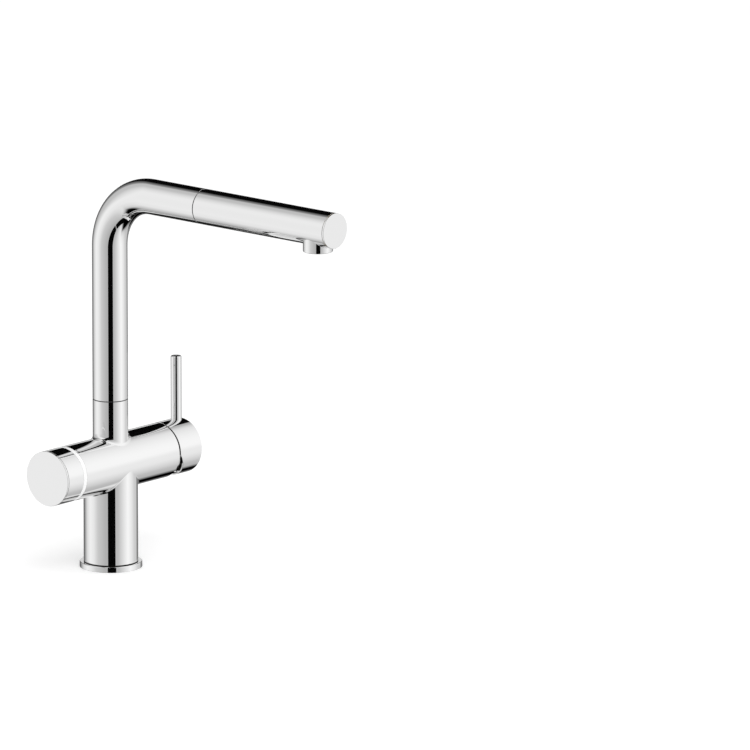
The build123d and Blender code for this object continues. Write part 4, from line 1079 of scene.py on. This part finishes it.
def spray_plate_tree():
    """Builds the Geometry Nodes tree of a round plate with rings of spray holes."""
    graph, given, result = new_group("spray_plate", "GeometryNodeTree", (
        ("Plate radius", "Float", 0.0115, 0.001), ("Plate thickness", "Float", 0.002, 0.0001),
        ("Hole radius", "Float", 0.00065, 0.0001), ("Jet radius", "Float", 0.0023, 0.0001),
        ("Inner ring", "Float", 0.0049, 0.001), ("Ring step", "Float", 0.002, 0.0005), ("Finish", "Material"),
    ), (("Geometry", "Geometry"),))

    def circle(name, steps):
        inputs = {"Radius": given[name], "Resolution": steps}
        return graph.add("GeometryNodeCurvePrimitiveCircle", inputs, mode="RADIUS")

    hole = circle("Hole radius", 20)
    outlines = [circle("Plate radius", 96), circle("Jet radius", 48)]
    for ring, holes in enumerate((8, 12, 16)):
        reach = graph.math("MULTIPLY_ADD", given["Ring step"], float(ring), given["Inner ring"])
        places = graph.add("GeometryNodeMeshCircle", {"Vertices": holes, "Radius": reach})
        copies = graph.add("GeometryNodeInstanceOnPoints", {"Points": places, "Instance": hole})
        outlines.append(graph.add("GeometryNodeRealizeInstances", {"Geometry": copies}))
    face = graph.add("GeometryNodeFillCurve", {"Curve": graph.add("GeometryNodeJoinGeometry", {"Geometry": outlines})})
    lift = graph.add("ShaderNodeCombineXYZ", {"Z": given["Plate thickness"]})
    thick = graph.add("GeometryNodeExtrudeMesh", {
        "Mesh": face, "Offset": lift, "Offset Scale": 1.0, "Individual": False,
    }, mode="FACES")
    under = graph.add("GeometryNodeFlipFaces", {"Mesh": face})
    both = graph.add("GeometryNodeJoinGeometry", {"Geometry": [thick, under]})
    weld = graph.add("GeometryNodeMergeByDistance", {"Geometry": both, "Distance": WELD_DISTANCE})
    real = graph.add("GeometryNodeRealizeInstances", {"Geometry": weld})
    done = graph.add("GeometryNodeSetMaterial", {"Geometry": real, "Material": given["Finish"]})
    graph.feed(result["Geometry"], done)
    return graph.tree


def grown(name, tree, values):
    """A plain mesh grown from a Geometry Nodes tree and its named inputs."""
    seed = bpy.data.objects.new(name + "_seed", bpy.data.meshes.new(name + "_seed"))
    bpy.context.scene.collection.objects.link(seed)
    modifier = seed.modifiers.new("growth", "NODES")
    modifier.node_group = tree
    for item in tree.interface.items_tree:
        if item.item_type == "SOCKET" and item.in_out == "INPUT" and item.name in values:
            modifier[item.identifier] = values[item.name]
    bpy.context.view_layer.update()
    seen = seed.evaluated_get(bpy.context.evaluated_depsgraph_get())
    mesh = bpy.data.meshes.new_from_object(seen)
    mesh.name = name
    if not mesh.polygons or not mesh.materials:
        raise RuntimeError(f"{name} grew no faces or no finish")
    bpy.data.objects.remove(seed)
    return mesh


class MIXER_OT_aerator(bpy.types.Operator):
    """Grows the perforated face of the aerator and turns its cup and the middle jet"""

    bl_idname = "mixer.aerator"
    bl_label = "Aerator"

    def execute(self, context):
        sizes, angles, _ = chosen(context)
        plate = grown("spray_plate", spray_plate_tree(), {
            "Plate radius": (AERATOR_HOLLOW_R + PLATE_OVERLAP) * MM, "Plate thickness": AERATOR_PLATE * MM,
            "Hole radius": sizes.spray_hole / 2, "Jet radius": (JET_BOSS_R - PLATE_OVERLAP) * MM,
            "Inner ring": SPRAY_RING * MM, "Ring step": SPRAY_RING_STEP * MM, "Finish": finish("aerator_plastic"),
        })
        plate.transform(Matrix.Translation((0, -NOZZLE_PLACE * MM, AERATOR_FOOT * MM)))
        face = bpy.data.objects.new("spray_plate", plate)
        context.scene.collection.objects.link(face)
        place_piece(face, "head", "aerator_plastic", "aerator_cartridge")
        top = AERATOR_FOOT + AERATOR_HEIGHT
        cup = [
            (AERATOR_HOLLOW_R, AERATOR_FOOT, 0.25), (AERATOR_R, AERATOR_FOOT, 0.3), (AERATOR_R, top, 0.2),
            (AERATOR_HOLLOW_R, top, 0.2),
        ]
        boss = [
            (JET_HOLE_R, AERATOR_FOOT, 0.15), (JET_BOSS_R, AERATOR_FOOT, 0.1), (JET_BOSS_R, top, 0.2),
            (JET_HOLE_R, top, 0.1),
        ]
        jet = [(JET_BORE_R, JET_FOOT, 0.2), (JET_R, JET_FOOT, 0.25), (JET_R, JET_TOP, 0), (JET_BORE_R, JET_TOP, 0)]
        for name, outlines, slot, node in (
            ("aerator_cup", (cup, boss), "aerator_plastic", "aerator_cartridge"),
            ("middle_jet", (jet,), "tube_plastic", "treated_jet"),
        ):
            skin = Skin()
            for outline in outlines:
                turned(skin, AT_NOZZLE, rounded(outline), angles)
            skin.place(name, (slot,), "head", slot, node)
        return {"FINISHED"}


class MIXER_OT_hose(bpy.types.Operator):
    """Weaves the hose and its inner tube between the spout and the pull-out head"""

    bl_idname = "mixer.hose"
    bl_label = "Pull-out hose"

    def execute(self, context):
        angles = circle_steps(HOSE_AROUND)
        along = np.linspace(0, 1, HOSE_ROWS + 1)[:, None]
        paid_out = along * along * (3 - 2 * along) * PULL_OUT
        place = HOSE_SPLIT + along * (HOSE_END - HOSE_SPLIT)
        for name, node, outer, bore, slot, weave in (
            ("braided_hose", "hose_in_arm", HOSE_R, HOSE_BORE_R, "hose_braid", "braid_weave"),
            ("hose_inner_tube", "inner_tube_in_arm", INNER_TUBE_R, INNER_TUBE_BORE_R, "tube_plastic", "tube_plastic"),
        ):
            skin = Skin()
            rims = np.array([[bore], [outer]])
            for radius, level, outward, way, wrapped in (
                (outer, place, 1.0, 0.0, place + paid_out), (bore, place, -1.0, 0.0, place + paid_out),
                (rims, HOSE_SPLIT, 0.0, -1.0, HOSE_SPLIT), (rims, HOSE_END, 0.0, 1.0, HOSE_END),
            ):
                points = ALONG_ARM.point(radius, level, angles)
                wrap = np.zeros((*points.shape[:2], 2))
                wrap[..., 0] = angles / TURN
                wrap[..., 1] = wrapped * MM
                skin.grid(points, ALONG_ARM.normal(outward, way, angles), 0, wrap)
            piece = skin.finish(name, [finish(weave)], with_uv=True)
            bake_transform(piece)
            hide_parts(node)
        return {"FINISHED"}


def even_shading_tree():
    """A small tree that welds a solid's facets and shades it smooth up to a given angle."""
    graph, given, result = new_group("even_shading", "GeometryNodeTree", (
        ("Geometry", "Geometry"), ("Sharp angle", "Float", math.radians(32)),
    ), (("Geometry", "Geometry"),))
    weld = graph.add("GeometryNodeMergeByDistance", {"Geometry": given["Geometry"], "Distance": WELD_DISTANCE})
    faces = graph.add("GeometryNodeSetShadeSmooth", {"Geometry": weld}, domain="FACE")
    angle = graph.add("GeometryNodeInputMeshEdgeAngle").outputs["Unsigned Angle"]
    sharp = graph.add("FunctionNodeCompare", {"A": angle, "B": given["Sharp angle"]},
                      data_type="FLOAT", operation="GREATER_THAN")
    edges = graph.add("GeometryNodeSetShadeSmooth", {"Geometry": faces, "Selection": sharp, "Shade Smooth": False},
                      domain="EDGE")
    graph.feed(result["Geometry"], edges)
    return graph.tree


class MIXER_OT_inner_parts(bpy.types.Operator):
    """Gives every solid that still shows its finish and an even shading"""

    bl_idname = "mixer.inner_parts"
    bl_label = "Inner parts"

    def execute(self, context):
        slots = {part["node"]: part["material_slot"] for part in frame["record"]["subparts"]}
        tree = even_shading_tree()
        for name, solid in frame["nodes"].items():
            material = finish(slots[name])
            solid.data.materials.clear()
            solid.data.materials.append(material)
            if not solid.hide_render:
                modifier = solid.modifiers.new("even_shading", "NODES")
                modifier.node_group = tree
        return {"FINISHED"}


# Studio

VIEW_TURN = math.radians(48.91)
VIEW_TILT = math.radians(12.95)
VIEW_PLACE = (-241.99, 174.75, 13750.24)
PICTURE_SIZE = 750
FOCAL_PIXELS = 15000.0
RIGHT = np.array((math.cos(VIEW_TURN), -math.sin(VIEW_TURN), 0.0))
AHEAD = np.array((math.sin(VIEW_TURN), math.cos(VIEW_TURN), 0.0))
SKYWARD = np.array((0.0, 0.0, 1.0))
LOOK = AHEAD * math.cos(VIEW_TILT) - SKYWARD * math.sin(VIEW_TILT)
HEAD_UP = SKYWARD * math.cos(VIEW_TILT) + AHEAD * math.sin(VIEW_TILT)

# Greys of the tent by the angle round it, 0 in front of the mixer and positive to the right.
LOWER_TENT = (
    (-180, 98), (-152, 95), (-138, 150), (-117, 218), (-96, 240), (-76, 230), (-55, 200), (-20, 176),
    (31, 187), (58, 226), (78, 249), (98, 232), (120, 204), (136, 200), (144, 130), (180, 108),
)
UPPER_TENT = (
    (-180, 208), (-168, 208), (-165, 30), (-156, 84), (-141, 148), (-138, 186), (-116, 192), (-88, 234),
    (98, 246), (131, 225), (140, 209), (149, 180), (158, 165), (164, 60), (168, 208), (180, 208),
)
# Light left in the lower tent by its rise in degrees.
DOWNWARD_SHARES = ((-90, 0.0), (-56, 0.0), (-51, 0.45), (-48, 0.68), (-45, 0.76), (-36, 0.9), (-20, 1.0), (0, 1.0))
HEADER = (-0.48, 0.69, 0.41, 2.0)
FRONT_CARD_TURNS = (-11.3, 20.5)
FRONT_CARD_RISES = (-55.0, 55.0)
STRIP_LEVEL = 3.0
CEILING_REACH = 2.2
FLOOR_REACH = 40
FLOOR_GLOW = 0.15
LAMP_WIDTH = 2.4
LAMP_PLACE = Vector((-1.1, -1.6, 2.6))
LAMP_TARGET = Vector((0, 0, 0.1))
AIR_LEVELS = (0.86, 1.0)
SENSOR_WIDTH = 36.0


def linked(thing):
    """Adds an object to the scene."""
    bpy.context.scene.collection.objects.link(thing)
    return thing


def sheet(name, corners, material):
    """A flat four-cornered piece of the stage."""
    mesh = bpy.data.meshes.new(name)
    mesh.from_pydata(corners, [], [(0, 1, 2, 3)])
    mesh.materials.append(material)
    return linked(bpy.data.objects.new(name, mesh))


def mirror_only(thing):
    """Lets a piece of the stage be seen only in what mirrors it."""
    for kind in ("camera", "diffuse", "transmission", "volume_scatter", "shadow"):
        setattr(thing, "visible_" + kind, False)


def spread(angles, distance):
    """How far across the angles reach at a distance."""
    return [math.tan(math.radians(angle)) * distance for angle in angles]


class MIXER_OT_studio(bpy.types.Operator):
    """Sets up the floor, lamp, reflections, world and camera"""

    bl_idname = "mixer.studio"
    bl_label = "Studio"

    def execute(self, context):
        studio = context.scene.mixer_studio
        self.make_floor(studio)
        self.make_tent(context, studio)
        self.make_cards(studio)
        self.make_lights(context, studio)
        self.make_camera(context)
        context.scene.view_settings.view_transform = "Standard"
        return {"FINISHED"}

    def make_floor(self, studio):
        material, graph = blank_material("pale_floor")
        tone = graph.ramp(graph.noise(graph.place(), 3.0), (
            (0.0, toned(studio.floor_colour, 0.995)), (1.0, studio.floor_colour),
        ))
        matt = graph.add("ShaderNodeBsdfDiffuse", {"Color": tone})
        seen = graph.add("ShaderNodeLightPath").outputs["Is Camera Ray"]
        glow = graph.add("ShaderNodeEmission", {"Strength": graph.math("MULTIPLY", seen, FLOOR_GLOW)})
        lit = graph.add("ShaderNodeAddShader", {0: matt, 1: glow})
        back = graph.add("ShaderNodeNewGeometry").outputs["Backfacing"]
        sides = graph.add("ShaderNodeMixShader", {0: back, 1: lit, 2: graph.add("ShaderNodeBsdfTransparent")})
        graph.add("ShaderNodeOutputMaterial", {"Surface": sides})
        far = FLOOR_REACH
        floor = sheet("floor", [(-far, -far, 0), (far, -far, 0), (far, far, 0), (-far, far, 0)], material)
        floor.visible_glossy = False

    def make_tent(self, context, studio):
        radius = millimetres(studio.tent_radius)
        rises = np.linspace(-math.pi / 2, math.pi / 2, 49)
        ways = np.column_stack((np.cos(rises), np.sin(rises)))
        skin = Skin()
        turned(skin, UPRIGHT, [np.hstack((radius * ways, -ways))], circle_steps(96))
        material, graph = blank_material("tent_cloth")
        material.cycles.emission_sampling = "NONE"
        way = graph.add("ShaderNodeVectorMath", {0: graph.place()}, operation="NORMALIZE")
        ahead, right, up = (
            graph.add("ShaderNodeVectorMath", {0: way, 1: tuple(axis)}, operation="DOT_PRODUCT").outputs["Value"]
            for axis in (-AHEAD, RIGHT, SKYWARD)
        )
        turn = graph.math("MULTIPLY_ADD", graph.math("ARCTAN2", right, ahead), 1 / TURN, 0.5)
        rise = graph.math("MULTIPLY", graph.math("ARCSINE", up), 180 / math.pi)
        chrome = context.scene.mixer_finishes.chrome[0]
        low, high = (
            graph.ramp(turn, [((angle + 180) / 360, [min(1.0, srgb(grey) / chrome)] * 3) for angle, grey in greys])
            for greys in (LOWER_TENT, UPPER_TENT)
        )

        def soft_step(value, start, end):
            inputs = {"Value": value, "From Min": start, "From Max": end}
            return graph.add("ShaderNodeMapRange", inputs, interpolation_type="SMOOTHSTEP")

        in_front = soft_step(ahead, 0.0, 0.25)
        falls = graph.ramp(graph.math("MULTIPLY_ADD", rise, 1 / 90, 1.0), [
            ((angle + 90) / 90, [share] * 3) for angle, share in DOWNWARD_SHARES
        ])
        falls = graph.math("MAXIMUM", falls, in_front)
        open_floor = graph.math("MAXIMUM", soft_step(ahead, -0.65, -0.61), soft_step(rise, -35.0, -29.0))
        lowered = graph.math("MULTIPLY", graph.math("MULTIPLY", low, falls), open_floor)
        horizon = soft_step(graph.math("MULTIPLY_ADD", in_front, -45.0, rise), -8.0, 8.0)
        mixed = graph.add("ShaderNodeMix", {"Factor": horizon, 2: lowered, 3: high}, data_type="FLOAT")
        glow = graph.add("ShaderNodeEmission", {"Strength": mixed})
        graph.add("ShaderNodeOutputMaterial", {"Surface": glow})
        tent = skin.finish("reflection_tent", [material])
        mirror_only(tent)

    def make_cards(self, studio):
        """Black cards that only the chrome sees: a header behind, a card in front and strips that join them."""
        cloth, graph = blank_material("black_cloth")
        graph.add("ShaderNodeOutputMaterial", {"Surface": graph.add("ShaderNodeBsdfPrincipled", {
            "Base Color": (0.002, 0.002, 0.002, 1), "Roughness": 1.0, "Specular IOR Level": 0.0,
        })})
        away = studio.card_distance
        reach = STRIP_LEVEL / math.tan(math.radians(FRONT_CARD_RISES[1]))
        strip = spread(FRONT_CARD_TURNS, reach)
        for name, middle, up, left, right, low, high in (
            ("black_header", AHEAD * studio.header_distance, SKYWARD, *HEADER),
            ("front_card", -AHEAD * away, SKYWARD, *spread(FRONT_CARD_TURNS, away), *spread(FRONT_CARD_RISES, away)),
            ("ceiling_strip", SKYWARD * STRIP_LEVEL, AHEAD, *strip, -reach, CEILING_REACH),
            ("floor_strip", -SKYWARD * STRIP_LEVEL, AHEAD, *strip, -reach, 0.0),
        ):
            corners = ((left, low), (right, low), (right, high), (left, high))
            mirror_only(sheet(name, [tuple(middle + RIGHT * across + up * rise) for across, rise in corners], cloth))

    def make_lights(self, context, studio):
        data = bpy.data.lights.new("soft_lamp", "AREA")
        data.shape = "DISK"
        data.size = LAMP_WIDTH
        data.energy = studio.lamp_power
        lamp = linked(bpy.data.objects.new("soft_lamp", data))
        lamp.location = LAMP_PLACE
        lamp.rotation_euler = (LAMP_TARGET - LAMP_PLACE).to_track_quat("-Z", "Y").to_euler()
        lamp.visible_glossy = False
        world = bpy.data.worlds.new("studio_air")
        context.scene.world = world
        world.use_nodes = True
        world.node_tree.nodes.clear()
        graph = Graph(world.node_tree)
        seen = graph.add("ShaderNodeLightPath").outputs["Is Camera Ray"]
        level = graph.add("ShaderNodeMapRange", {"Value": seen, "To Min": AIR_LEVELS[0], "To Max": AIR_LEVELS[1]})
        air = graph.add("ShaderNodeBackground", {"Color": (1, 1, 1, 1), "Strength": level})
        graph.add("ShaderNodeOutputWorld", {"Surface": air})

    def make_camera(self, context):
        data = bpy.data.cameras.new("view_camera")
        data.sensor_width = SENSOR_WIDTH
        data.lens = FOCAL_PIXELS / PICTURE_SIZE * SENSOR_WIDTH
        data.clip_start = 0.5
        data.clip_end = 120.0
        camera = linked(bpy.data.objects.new("view_camera", data))
        across, down, away = VIEW_PLACE
        place = (-across * RIGHT + down * HEAD_UP - away * LOOK) * MM
        turn = Matrix([[RIGHT[i], HEAD_UP[i], -LOOK[i]] for i in range(3)])
        camera.matrix_world = Matrix.Translation(place.tolist()) @ turn.to_4x4()
        context.scene.camera = camera


PIECES = (
    MIXER_OT_base_flange, MIXER_OT_tap_body, MIXER_OT_white_ring, MIXER_OT_selector, MIXER_OT_dome,
    MIXER_OT_lever, MIXER_OT_spout, MIXER_OT_head, MIXER_OT_aerator, MIXER_OT_hose, MIXER_OT_inner_parts,
    MIXER_OT_studio,
)


class MIXER_PT_panel(bpy.types.Panel):
    """Lists the mixer's sizes, finishes, studio and building steps"""

    bl_idname = "MIXER_PT_panel"
    bl_label = "Kitchen mixer"
    bl_space_type = "VIEW_3D"
    bl_region_type = "UI"
    bl_category = "Mixer"

    def draw(self, context):
        layout = self.layout
        for group in (context.scene.mixer_sizes, context.scene.mixer_finishes, context.scene.mixer_studio):
            box = layout.box()
            for name in group.__annotations__:
                box.prop(group, name)
        for piece in PIECES:
            layout.operator(piece.bl_idname)


CLASSES = (MixerSizes, MixerFinishes, MixerStudio, *PIECES, MIXER_PT_panel)


def register():
    for item in CLASSES:
        bpy.utils.register_class(item)
    bpy.types.Scene.mixer_sizes = bpy.props.PointerProperty(type=MixerSizes)
    bpy.types.Scene.mixer_finishes = bpy.props.PointerProperty(type=MixerFinishes)
    bpy.types.Scene.mixer_studio = bpy.props.PointerProperty(type=MixerStudio)


def unregister():
    del bpy.types.Scene.mixer_studio
    del bpy.types.Scene.mixer_finishes
    del bpy.types.Scene.mixer_sizes
    for item in reversed(CLASSES):
        bpy.utils.unregister_class(item)


def main():
    """Builds every piece in turn."""
    register()
    for piece in PIECES:
        group, name = piece.bl_idname.split(".")
        getattr(getattr(bpy.ops, group), name)()


if __name__ == "__main__":
    main()
